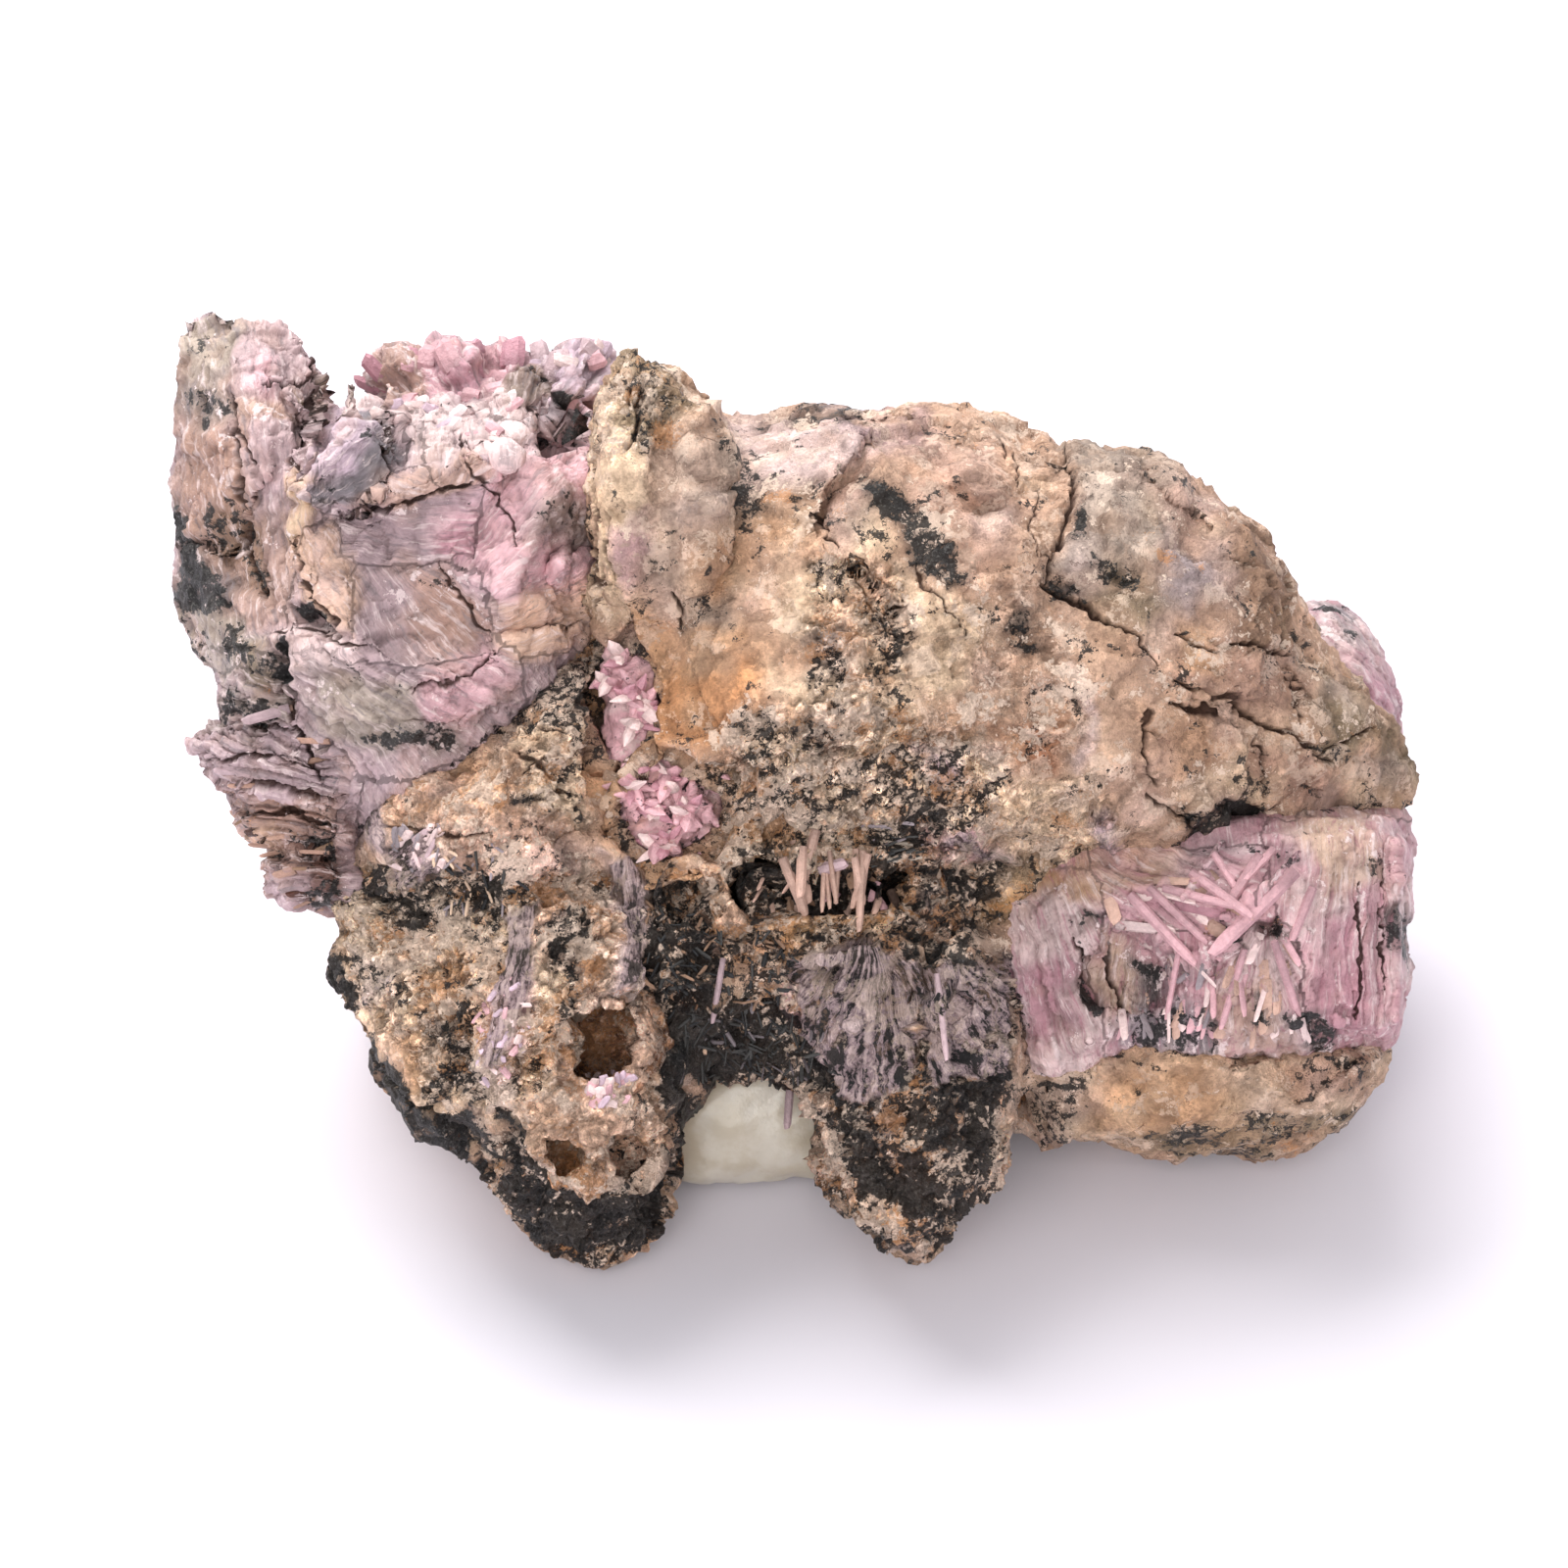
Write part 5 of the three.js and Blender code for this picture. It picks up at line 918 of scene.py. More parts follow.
# The colours of the sides that the drawing doesn't show, the first of them the base
ROCK_FAR_COLOURS = (TAN, BROWN, PALE_TAN, OCHRE, SLAB_GREY)
MASS_FAR_COLOURS = (SOFT_MAUVE, PINK_BROWN, GREY_MAUVE, PINK)
VEIN_FAR_COLOURS = (PINK, PALE_PINK, SOFT_MAUVE, SOFT_ROSE)

# Mottling: colour, size in millimetres and share
ROCK_HUES = ((CREAM, 3.6, 0.4), (PINK_BROWN, 3.0, 0.3), (BROWN_TAN, 2.4, 0.3), (PALE_PINK, 4.2, 0.3),
             (OCHRE, 5.0, 0.3))
MASS_HUES = ((ROSY_TAN, 3.4, 0.4), (SOFT_MAUVE, 2.6, 0.3), (PINK_BROWN, 2.2, 0.25))
VEIN_HUES = ((PALE_PINK, 3.0, 0.35), (PINK_BROWN, 2.0, 0.25), (SOFT_ROSE, 2.6, 0.3))


# Relief and paint

def bent(points, amounts=(16, 8, 3.5)):
    """The drawing's coordinates of the points, bent so that drawn borders wander like natural ones."""
    x, y, toward = drawn(points)
    for amount, size, seed in zip(amounts, (6.0, 2.2, 0.8), (11, 12, 13)):
        x = x + amount * noise(points, size, seed)
        y = y + amount * noise(points, size, seed + 40)
    return x, y, toward


def strongest(x, y, shapes):
    """The strongest of several drawn patches at each point."""
    total = np.zeros(len(x))
    for strength, soft, outline in shapes.values():
        total = np.maximum(total, strength * within(x, y, outline, soft))
    return total


def patched(points, front, base, patches, far_colours, seed):
    """Colour, lift in millimetres and black stain at each point, from the patches drawn on the front."""
    x, y, _ = bent(points)
    crisp_x, crisp_y, _ = bent(points, (5, 3, 1.5))
    tint = np.tile(base, (len(points), 1))
    lift = np.zeros(len(points))
    black = np.full(len(points), 0.1)
    for colour, soft, rise, stain, outline in patches.values():
        weight = (within(x, y, outline, soft * 1.5) * 0.85)[:, None]
        tint = tint + weight * (colour - tint)
        if rise:
            lift += rise * within(crisp_x, crisp_y, outline, min(soft, 7))
        share = within(x, y, outline, soft * 1.3)
        black = np.maximum(black, stain * share) if stain >= 0 else black * (1 + stain * share)
    far = np.tile(far_colours[0], (len(points), 1))
    for k, colour in enumerate(far_colours[1:]):
        patch = smooth(0.0, 0.5, fractal(points, 11.0 - 2 * k, seed + k))[:, None] * 0.8
        far = far + patch * (colour - far)
    tint = far + front[:, None] * (tint - far)
    dark = 0.16 + 0.5 * smooth(0.15, 0.6, fractal(points, 11.0, seed + 10))
    black = dark + front * (black - dark)
    return tint, lift * front, black


def limited(tint):
    """The tint with nothing over full light, and its hue kept."""
    return tint / np.maximum(tint.max(axis=1), 1)[:, None]


def mottled(points, tint, hues, seed):
    """The tint made uneven at three sizes, and drawn here and there towards other colours."""
    for k, (colour, size, share) in enumerate(hues):
        patch = share * smooth(0.1, 0.9, noise(points, size, seed + k))[:, None]
        tint = tint + patch * (colour - tint)
    value = 1 + 0.09 * noise(points, 8.0, seed + 10) + 0.11 * noise(points, 2.8, seed + 11)
    value += 0.08 * noise(points, 1.0, seed + 12)
    return limited(tint * value[:, None])


def speckled(points, amount, seed):
    """A stain field: above a half it is stained, and the border breaks up into specks."""
    rough = 0.8 * noise(points, 4.0, seed) + 0.6 * noise(points, 1.7, seed + 1)
    rough += 0.4 * noise(points, 0.7, seed + 2)
    return np.clip(0.5 + (amount - 0.5) * 0.85 + 0.26 * rough, 0, 1)


def sight(x, y):
    """The line of sight from the eye to a drawn point."""
    return DRAWING_CENTRE + ((x - DRAWING_MIDDLE) * RIGHT + (DRAWING_MIDDLE - y) * UP) * PIXEL - EYE


def ray(tree, x, y):
    """Where the line of sight through a drawn point meets a mesh, and the direction out of it."""
    return tree.ray_cast(Vector(EYE), Vector(sight(x, y)))[:2]


def faceted(points, front, tree, corners, faces):
    """The points moved towards flat faces drawn over them. Each corner is a drawn point and, in millimetres,
    its rise over the surface, or its distance towards the eye where no surface is given."""
    x, y, toward = bent(points, (3, 2, 1))
    level = {}
    for name, (px, py, rise) in corners.items():
        place = ray(tree, px, py)[0] if tree else EYE
        if place is not None:
            level[name] = rise + (drawn(np.array([place]))[2][0] if tree else 0)
    shift = np.zeros(len(points))
    for names in faces.split():
        if any(name not in level for name in names):
            continue
        (ax, ay), (bx, by), (cx, cy) = (corners[name][:2] for name in names)
        area = (bx - ax) * (cy - ay) - (cx - ax) * (by - ay)
        u = ((bx - x) * (cy - y) - (cx - x) * (by - y)) / area
        v = ((cx - x) * (ay - y) - (ax - x) * (cy - y)) / area
        inside = np.minimum(np.minimum(u, v), 1 - u - v) > 0
        a, b, c = (level[name] for name in names)
        shift[inside] = (u * a + v * b + (1 - u - v) * c - toward)[inside]
    shift *= front * smooth(4.0, 2.6, np.abs(shift))
    return points + shift[:, None] * TO_EYE


def terraces(points, size, drop, seed):
    """Flaked layers: level steps with crisp wandering edges, in millimetres."""
    level = 2.6 * fractal(points, size, seed, 3)
    whole = np.floor(level)
    return drop * (whole + smooth(0.84, 1.0, level - whole))


def fibres(points, sheaves, seed):
    """Bundles of fibres that spread from drawn points: height in millimetres, tone from -1 to 1, and each
    point's place across and along its bundle in millimetres."""
    x, y, toward = bent(points, (5, 3, 1))
    height = np.zeros(len(points))
    tone = np.zeros(len(points))
    best = np.zeros(len(points))
    place = points.copy()
    for k, (width, depth, (ax, ay), outline) in enumerate(sheaves.values()):
        weight = within(x, y, outline, 10)
        near = weight > best
        if not near.any():
            continue
        middle = np.mean(outline, axis=0)
        reach = math.hypot(middle[0] - ax, middle[1] - ay) * PIXEL
        across = np.arctan2(y[near] - ay, x[near] - ax) * reach
        along = np.hypot(x[near] - ax, y[near] - ay) * PIXEL
        part = points[near]
        u = across / width + 0.3 * noise(part, 3.0, seed + k)
        column = np.floor(u)
        v = along / (7 * width) + scrambled(column.astype(np.int64), np.int64(k), np.int64(3), seed)
        v = v + 0.35 * noise(part, 2.2, seed + 5 + k)
        row = np.floor(v)
        own = scrambled(column.astype(np.int64), row.astype(np.int64), np.int64(k), seed + 9)
        edge = np.minimum(u - column, 1 - u + column)
        wave = 0.9 * (own - 0.5) + 0.5 * (v - row - 0.5) - 0.5 * (1 - smooth(0, 0.16, edge))
        share = weight[near]
        height[near] = share * depth * wave
        tone[near] = share * (1.6 * (own - 0.5) - 0.4 * (1 - smooth(0, 0.14, edge)))
        place[near] = np.stack([across, along, toward[near]], axis=1)
        best[near] = share
    return height, tone, place


def broken(points, sizes, heights, seed):
    """Angular broken faces of several sizes, in millimetres, how close each point is to their borders, and a
    tone for each face."""
    height = np.zeros(len(points))
    border = np.zeros(len(points))
    tone = np.zeros(len(points))
    for k, (size, amount) in enumerate(zip(sizes, heights)):
        bend = np.stack([noise(points, size * 0.6, seed + 90 + k + j) for j in range(3)], axis=1)
        inner, tilt, own = cells(points + 0.22 * size * bend, size, seed + k)
        height += amount * ((own - 0.5) * 0.9 + 2.0 * tilt)
        border = np.maximum(border, 1 - smooth(0, 0.12, inner))
        tone += (own - 0.5) / (1 + 0.5 * k)
    return height, border, tone


def cracked(points, cracks):
    """Depth in millimetres and darkness of the drawn cracks."""
    x, y, _ = drawn(points)
    x = x + 4.5 * noise(points, 1.8, 71) + 2.5 * noise(points, 0.6, 72)
    y = y + 4.5 * noise(points, 1.8, 73) + 2.5 * noise(points, 0.6, 74)
    depth = np.zeros(len(points))
    dark = np.zeros(len(points))
    for width, deep, line in cracks.values():
        weight = along_line(x, y, line, 0.62 * width)
        depth = np.maximum(depth, deep * weight)
        dark = np.maximum(dark, weight)
    return depth, dark


def near_crack(points, cracks, reach):
    """True close to a drawn crack."""
    x, y, _ = drawn(points)
    result = np.zeros(len(points), bool)
    for width, _, line in cracks.values():
        result |= along_line(x, y, line, width + reach) > 0
    return result


# Materials

class Nodes:
    """A material's shader nodes; each method adds one and gives its output."""

    def __init__(self, name):
        self.material = bpy.data.materials.new(name)
        self.material.use_nodes = True
        self.tree = self.material.node_tree
        self.shader = self.tree.nodes["Principled BSDF"]
        self.where = self.add("TexCoord").outputs["Object"]

    def add(self, kind, sockets=(), **settings):
        """A node; each socket's value is a number, a colour, a vector or another node's output."""
        node = self.tree.nodes.new("ShaderNode" + kind)
        for name, value in settings.items():
            setattr(node, name, value)
        for socket, value in sockets:
            if isinstance(value, bpy.types.NodeSocket):
                self.tree.links.new(value, node.inputs[socket])
            elif isinstance(value, np.ndarray):
                node.inputs[socket].default_value = (*value.tolist(), 1.0)
            else:
                node.inputs[socket].default_value = value
        return node

    def calc(self, operation, a, b):
        return self.add("Math", ((0, a), (1, b)), operation=operation).outputs[0]

    def plus(self, a, b):
        return self.calc("ADD", a, b)

    def minus(self, a, b):
        return self.calc("SUBTRACT", a, b)

    def times(self, value, *factors):
        for factor in factors:
            value = self.calc("MULTIPLY", value, factor)
        return value

    def vectors(self, operation, a, b):
        return self.add("VectorMath", ((0, a), (1, b)), operation=operation).outputs[0]

    def ramp(self, value, low, high, start=0.0, end=1.0):
        """A value carried softly from one range to another."""
        sockets = enumerate((value, low, high, start, end))
        return self.add("MapRange", sockets, interpolation_type="SMOOTHSTEP").outputs[0]

    def mix(self, share, a, b, kind="MIX"):
        """Two colours mixed."""
        return self.add("Mix", ((0, share), (6, a), (7, b)), data_type="RGBA", blend_type=kind).outputs[2]

    def shaded(self, colour, value):
        """A colour made darker or lighter."""
        return self.mix(1.0, colour, value, "MULTIPLY")

    def parts(self, colour):
        """A colour's three values."""
        return self.add("SeparateColor", ((0, colour),)).outputs

    def layer(self, name):
        """A colour layer of the mesh."""
        return self.add("Attribute", attribute_name=name, attribute_type="GEOMETRY").outputs

    def grain(self, size, detail, rough=0.65):
        """Noise with features of one size in millimetres."""
        sockets = (("Vector", self.where), ("Scale", 1 / MM / size), ("Detail", detail), ("Roughness", rough))
        return self.add("TexNoise", sockets).outputs[0]

    def grains(self, where, scale, feature="F1"):
        """Cells; the scale is how many lie in a metre."""
        return self.add("TexVoronoi", (("Vector", where), ("Scale", scale)), feature=feature).outputs

    def set(self, **values):
        """The shader's sockets, named with _ for a space."""
        for name, value in values.items():
            socket = self.shader.inputs[name.replace("_", " ")]
            if isinstance(value, bpy.types.NodeSocket):
                self.tree.links.new(value, socket)
            else:
                socket.default_value = value

    def bump(self, height, strength, distance):
        """The shader's relief, with its distance in metres."""
        sockets = (("Height", height), ("Strength", strength), ("Distance", distance))
        self.set(Normal=self.add("Bump", sockets).outputs[0])


def needles(nodes, colour, height, streak, broad, silk):
    """Silky needles in the rock, pale between black."""
    lit = nodes.plus(streak, nodes.times(nodes.minus(broad, 0.5), 0.9))
    silky = nodes.mix(nodes.ramp(lit, 0.42, 0.5), BLACK, SOFT_MAUVE * 0.85)
    silky = nodes.mix(nodes.ramp(lit, 0.51, 0.6), silky, PALE_PINK)
    height = nodes.plus(height, nodes.times(streak, 4.0, silk))
    return nodes.mix(nodes.times(silk, 0.9), colour, silky), height


def flaked(nodes, colour, height, where, wander, light, dark):
    """Flakes with crisp borders, some of them light or dark."""
    first, second, third = nodes.parts(nodes.grains(where, 520.0)["Color"])[:3]
    colour = nodes.shaded(colour, nodes.ramp(first, 0.0, 1.0, 0.9, 1.08))
    over = nodes.plus(second, nodes.times(wander, 1.5))
    colour = nodes.mix(nodes.ramp(over, 0.78, 0.83, 0.0, 0.4), colour, light)
    over = nodes.plus(third, nodes.times(wander, 1.5))
    colour = nodes.mix(nodes.ramp(over, 0.84, 0.89, 0.0, 0.35), colour, dark)
    return colour, nodes.plus(height, nodes.times(first, 0.8))


def crumbled(nodes, colour, height, bits, fine, broad, crumb):
    """Loose grains, with painted shade darkening the gaps between them."""
    gaps = bits["Distance"]
    first, second = nodes.parts(bits["Color"])[:2]
    grainy = nodes.shaded(colour, nodes.ramp(first, 0.2, 0.7, 0.75, 1.45))
    grainy = nodes.mix(nodes.ramp(first, 0.62, 0.8, 0.0, 0.7), grainy, BONE)
    grainy = nodes.mix(nodes.ramp(second, 0.76, 0.86, 0.0, 0.55), grainy, ORANGE)
    # painted shade: the gaps between the grains darkened towards dark rust
    grainy = nodes.mix(nodes.ramp(gaps, 0.55, 0.8, 0.0, 0.85), grainy, DARK_RUST)
    grainy = nodes.shaded(grainy, nodes.ramp(broad, 0.38, 0.62, 0.72, 1.75))
    share = nodes.times(crumb, nodes.ramp(fine, 0.4, 0.58, 0.35, 0.95))
    height = nodes.plus(height, nodes.times(nodes.ramp(gaps, 0.85, 0.3), crumb))
    return nodes.mix(share, colour, grainy), height


def gathered(nodes, black, bits, net):
    """Black stain that gathers in the gaps and leaves pale grains."""
    share = nodes.ramp(bits["Distance"], 0.35, 0.75, -0.32, 0.3)
    share = nodes.plus(share, nodes.ramp(net, 0.14, 0.0, -0.1, 0.26))
    share = nodes.minus(share, nodes.ramp(nodes.parts(bits["Color"])[2], 0.8, 0.85, 0.0, 0.34))
    partial = nodes.calc("MINIMUM", black, nodes.minus(1.0, black))
    return nodes.plus(black, nodes.times(partial, share, 2.2))


def mineral(name, light, dark, roughness, contrast, gritty=False, streaky=0.6, bump=0.0003):
    """A mineral surface of painted tint, mottling and stains. Gritty rock also has flakes, grains and
    crackle, and streaky mineral has fine streaks along its fibres. The bump is in metres."""
    nodes = Nodes(name)
    black, pale, rust = nodes.parts(nodes.layer("stain")["Color"])[:3]
    form = nodes.layer("form")
    # hollow is painted shade: dents, face borders and the drawn cracks darkened
    hollow, crumb, crackle = nodes.parts(form["Color"])[:3]
    silk = form["Alpha"]

    fine = nodes.grain(0.7, 5.0, 0.72)
    tiny = nodes.grain(0.24, 2.0)
    broad = nodes.grain(2.6, 6.0, 0.75)
    wander = nodes.minus(fine, 0.5)
    mottle = [nodes.ramp(value, 0.32, 0.68, 1.0 - contrast, 1.0 + contrast) for value in (fine, broad)]
    colour = nodes.shaded(nodes.layer("tint")["Color"], nodes.times(*mottle))
    height = nodes.plus(nodes.times(tiny, 0.5), nodes.times(fine, 1.2))

    along = nodes.vectors("MULTIPLY", nodes.layer("fibre")["Vector"], (1.0, 0.1, 0.25))
    sockets = (("Vector", along), ("Scale", 2.4), ("Detail", 5.0), ("Roughness", 0.68))
    streak = nodes.add("TexNoise", sockets).outputs[0]
    if gritty:
        colour, height = needles(nodes, colour, height, streak, broad, silk)
        shift = nodes.times(wander, 0.004)
        sockets = ((0, shift), (1, nodes.times(shift, -0.8)), (2, shift))
        where = nodes.vectors("ADD", nodes.where, nodes.add("CombineXYZ", sockets).outputs[0])
        colour, height = flaked(nodes, colour, height, where, wander, light, dark)
        net = nodes.grains(where, 260.0, "DISTANCE_TO_EDGE")["Distance"]
        line = nodes.times(nodes.ramp(net, 0.022, 0.004), nodes.ramp(broad, 0.5, 0.56), crackle, 0.8)
        colour = nodes.mix(line, colour, DARK_RUST)
        bits = nodes.grains(where, 1150.0)
        colour, height = crumbled(nodes, colour, height, bits, fine, broad, crumb)
        black = nodes.minus(gathered(nodes, black, bits, net), silk)
    else:
        colour = nodes.mix(nodes.ramp(streak, 0.52, 0.66, 0.0, streaky), colour, light)
        colour = nodes.mix(nodes.ramp(streak, 0.48, 0.34, 0.0, streaky), colour, dark)
        height = nodes.plus(height, nodes.times(streak, 2.6))

    # Painted shade in the dents and along face borders, darkest in the drawn cracks, then rust, pale crumbs
    # and black stain
    colour = nodes.mix(nodes.times(hollow, 0.9), colour, DARK_RUST * 0.5)
    over = nodes.plus(rust, nodes.times(nodes.minus(tiny, 0.5), 0.6))
    colour = nodes.mix(nodes.ramp(over, 0.5, 0.62, 0.0, 0.65), colour, ORANGE)
    over = nodes.minus(pale, nodes.times(wander, 1.3))
    colour = nodes.mix(nodes.ramp(over, 0.5, 0.55, 0.0, 0.75), colour, light)
    stain = nodes.ramp(nodes.plus(black, nodes.times(wander, 1.2)), 0.49, 0.55)
    # The black stain, with grey flecks that are partly real flecks and partly painted glints
    black_with_painted_glints = nodes.mix(nodes.ramp(tiny, 0.54, 0.7), BLACK * 0.45, CHARCOAL * 2.2)
    colour = nodes.mix(nodes.times(stain, 0.93), colour, black_with_painted_glints)
    rough = nodes.ramp(stain, 0.0, 1.0, roughness, 0.42)
    nodes.set(Base_Color=colour, Roughness=rough, Specular_IOR_Level=0.35)
    nodes.bump(height, 0.9, bump)
    return nodes.material


def cloudy_calcite():
    """Calcite: light goes through it, with a warm tone that deepens with thickness."""
    nodes = Nodes("calcite")
    cloud = nodes.ramp(nodes.grain(4.0, 5.0, 0.6), 0.4, 0.62)
    colour = nodes.mix(cloud, linear("fbf3e4"), linear("e8dcc6"))
    nodes.set(Base_Color=colour, Transmission_Weight=0.5, IOR=1.6, Roughness=0.3)
    absorb = nodes.add("VolumeAbsorption", (("Color", linear("e2cf9d")), ("Density", 22.0)))
    nodes.tree.links.new(absorb.outputs[0], nodes.tree.nodes["Material Output"].inputs["Volume"])
    nodes.bump(nodes.grain(2.0, 4.0, 0.6), 0.5, 0.0003)
    return nodes.material


rock_material = mineral("host_rock", BONE, BROWN, 0.8, 0.25, gritty=True, bump=0.00055)
mass_material = mineral("grey_pink_inesite", WHITE_PINK, GREY_MAUVE * 0.7, 0.5, 0.1, bump=0.00018)
vein_material = mineral("pink_inesite", WHITE_PINK, ROSE * 0.8, 0.45, 0.1, bump=0.00018)
blade_material = mineral("inesite_blades", WHITE_PINK, GREY_MAUVE * 0.7, 0.4, 0.12, streaky=0.0, bump=0.0002)
crust_material = mineral("crystal_crust", PALE_PINK, ROSE, 0.3, 0.12, streaky=0.0, bump=0.0002)
calcite_material = cloudy_calcite()


# The rock's and the minerals' fine meshes

base = {
    "matrix": fine_mesh("matrix", ROCK_GRAIN),
    "inesite_mass": fine_mesh("inesite_mass", MASS_GRAIN),
    "inesite_vein": fine_mesh("inesite_vein", VEIN_GRAIN),
    "vug_crystals": fine_mesh("vug_crystals", CRUST_GRAIN),
    "calcite": fine_mesh("calcite", CALCITE_GRAIN),
}
everything = tree_of(base.values())
others = {
    "matrix": tree_of([base["inesite_mass"], base["inesite_vein"], base["vug_crystals"]]),
    "inesite_mass": tree_of([base["matrix"], base["inesite_vein"]]),
    "inesite_vein": tree_of([base["matrix"], base["inesite_mass"]]),
}


def detailed(node, cracks):
    """The fine mesh, closer where the eye sees it and closest along its cracks."""
    points, triangles = base[node]
    points = relaxed(points, triangles, 1)
    visible = seen(points, normals_of(points, triangles), everything)
    points, triangles = refined(points, triangles, visible[triangles].any(axis=1))
    for reach in (5, 2):
        front = seen(points, normals_of(points, triangles), everything)
        close = near_crack(points, cracks, reach) & front
        points, triangles = refined(points, triangles, close[triangles].any(axis=1))
    return points, triangles


def facing(points, normals):
    """1 where the surface looks towards the eye, and 0 where it looks away."""
    away = EYE - points
    away /= np.linalg.norm(away, axis=1)[:, None]
    return smooth(-0.25, 0.05, (normals * away).sum(axis=1))


def joined(points, node):
    """1 where another mineral is close, falling to 0 at SEAM_REACH away."""
    weight = np.zeros(len(points))
    tree = others[node]
    for k, point in enumerate(points.tolist()):
        away = tree.find_nearest(point, SEAM_REACH)[3]
        if away is not None:
            weight[k] = 1 - away / SEAM_REACH
    return smooth(0.0, 0.75, weight)


def dent_shade(triangles, height):
    """How far each point lies in a small hollow, from 0 to 1; it sets the painted shade in small hollows."""
    level = relaxed(height[:, None], triangles, 6, 0.7)[:, 0]
    return np.clip((level - height) / 0.16, 0, 1)


def on_floor(points):
    """The points with none of them below the surface that the specimen rests on."""
    return np.maximum(points, [-FAR, -FAR, FLOOR_GAP])


def stacked(*fields):
    """A colour layer from one field for each of its values."""
    return np.stack(fields, axis=1)


def rock_relief(points, crumb):
    """Broken rock: height in millimetres, how close each point is to an edge, and each face's tone."""
    height, border, faces = broken(points, (9.0, 3.6, 1.6), (1.0, 0.6, 0.22), 300)
    rough = 0.7 + 0.5 * crumb
    height = (height + terraces(points, 7.0, 0.3, 305)) * rough + 0.2 * fractal(points, 2.4, 310, 4) * rough
    inner, tilt, own = cells(points + 0.3 * noise(points, 0.7, 320)[:, None], 1.25, 330)
    height += crumb * (0.5 * (own - 0.5) + 0.3 * tilt - 0.42 * (1 - smooth(0.0, 0.3, inner)))
    inner, tilt, own = cells(points, 0.7, 335)
    height += (0.06 + 0.24 * crumb) * (own - 0.5) - 0.1 * crumb * (1 - smooth(0.0, 0.3, inner))
    return height, border, faces


def build_rock():
    """The host rock, with its mesh for the crystals that stand on it."""
    points, triangles = detailed("matrix", ROCK_CRACKS)
    front = facing(points, normals_of(points, triangles))
    points = faceted(points, front, tree_of([base["matrix"]]), ROCK_CORNERS, ROCK_FACES)
    normals = normals_of(points, triangles)
    seam = joined(points, "matrix")
    x, y, _ = bent(points, (10, 5, 2))
    crumb = strongest(x, y, ROCK_CRUMBS) * front
    crumb = np.maximum(crumb, (1 - front) * smooth(0.1, 0.5, fractal(points, 9.0, 400)) * 0.8)
    tint, lift, black = patched(points, front, TAN, ROCK_PATCHES, ROCK_FAR_COLOURS, 340)
    height, border, faces = rock_relief(points, crumb)
    depth, dark = cracked(points, ROCK_CRACKS)
    bundle, streak, fibre = fibres(points, ROCK_SILK, 395)
    silk = front * strongest(x, y, {k: (1.0, 7, v[3]) for k, v in ROCK_SILK.items()})
    silk = smooth(0.3, 0.7, silk + 0.25 * noise(points, 1.6, 396) + 0.15 * streak)
    height = height * (1 - 0.5 * silk) + lift + 0.5 * seam - depth * front + silk * bundle
    moved = on_floor(points + normals * height[:, None])

    # hollow is painted shade in small dents and along the borders of the broken faces, darkest in the drawn
    # cracks
    hollow = np.maximum(dent_shade(triangles, height) * (0.3 + 0.17 * crumb), np.minimum(dark * front * 1.4, 1))
    hollow = np.maximum(hollow, 0.18 * border * (1 - crumb))
    clumps = np.exp(crumb * (0.26 * noise(points, 3.6, 371) + 0.34 * noise(points, 1.5, 372)))
    tint = (1.14 + 0.42 * crumb)[:, None] * tint * ((1 + 0.12 * faces) * clumps)[:, None]
    tint = mottled(points, limited(tint), ROCK_HUES, 370)
    black = speckled(points, black - 0.05 * crumb + 0.25 * seam * (1 - smooth(0, 0.5, black)), 350)
    pale = speckled(points, 0.24 + 0.24 * crumb + 0.34 * fractal(points, 4.0, 360), 361)
    rust = speckled(points, 0.18 + 0.28 * crumb + 0.3 * fractal(points, 6.0, 380), 381)
    crackle = (0.25 + 0.75 * smooth(-0.1, 0.4, noise(points, 7.0, 390))) * smooth(0.9, 0.2, crumb)
    plain = 1 - silk
    layers = {
        "tint": tint,
        "stain": stacked(black, pale * plain, rust * plain),
        "form": np.clip(stacked(hollow * plain, crumb * plain, crackle, silk), 0, 1),
        "fibre": fibre,
    }
    make("host_rock", "matrix", moved, triangles, layers, rock_material)
    return moved, triangles


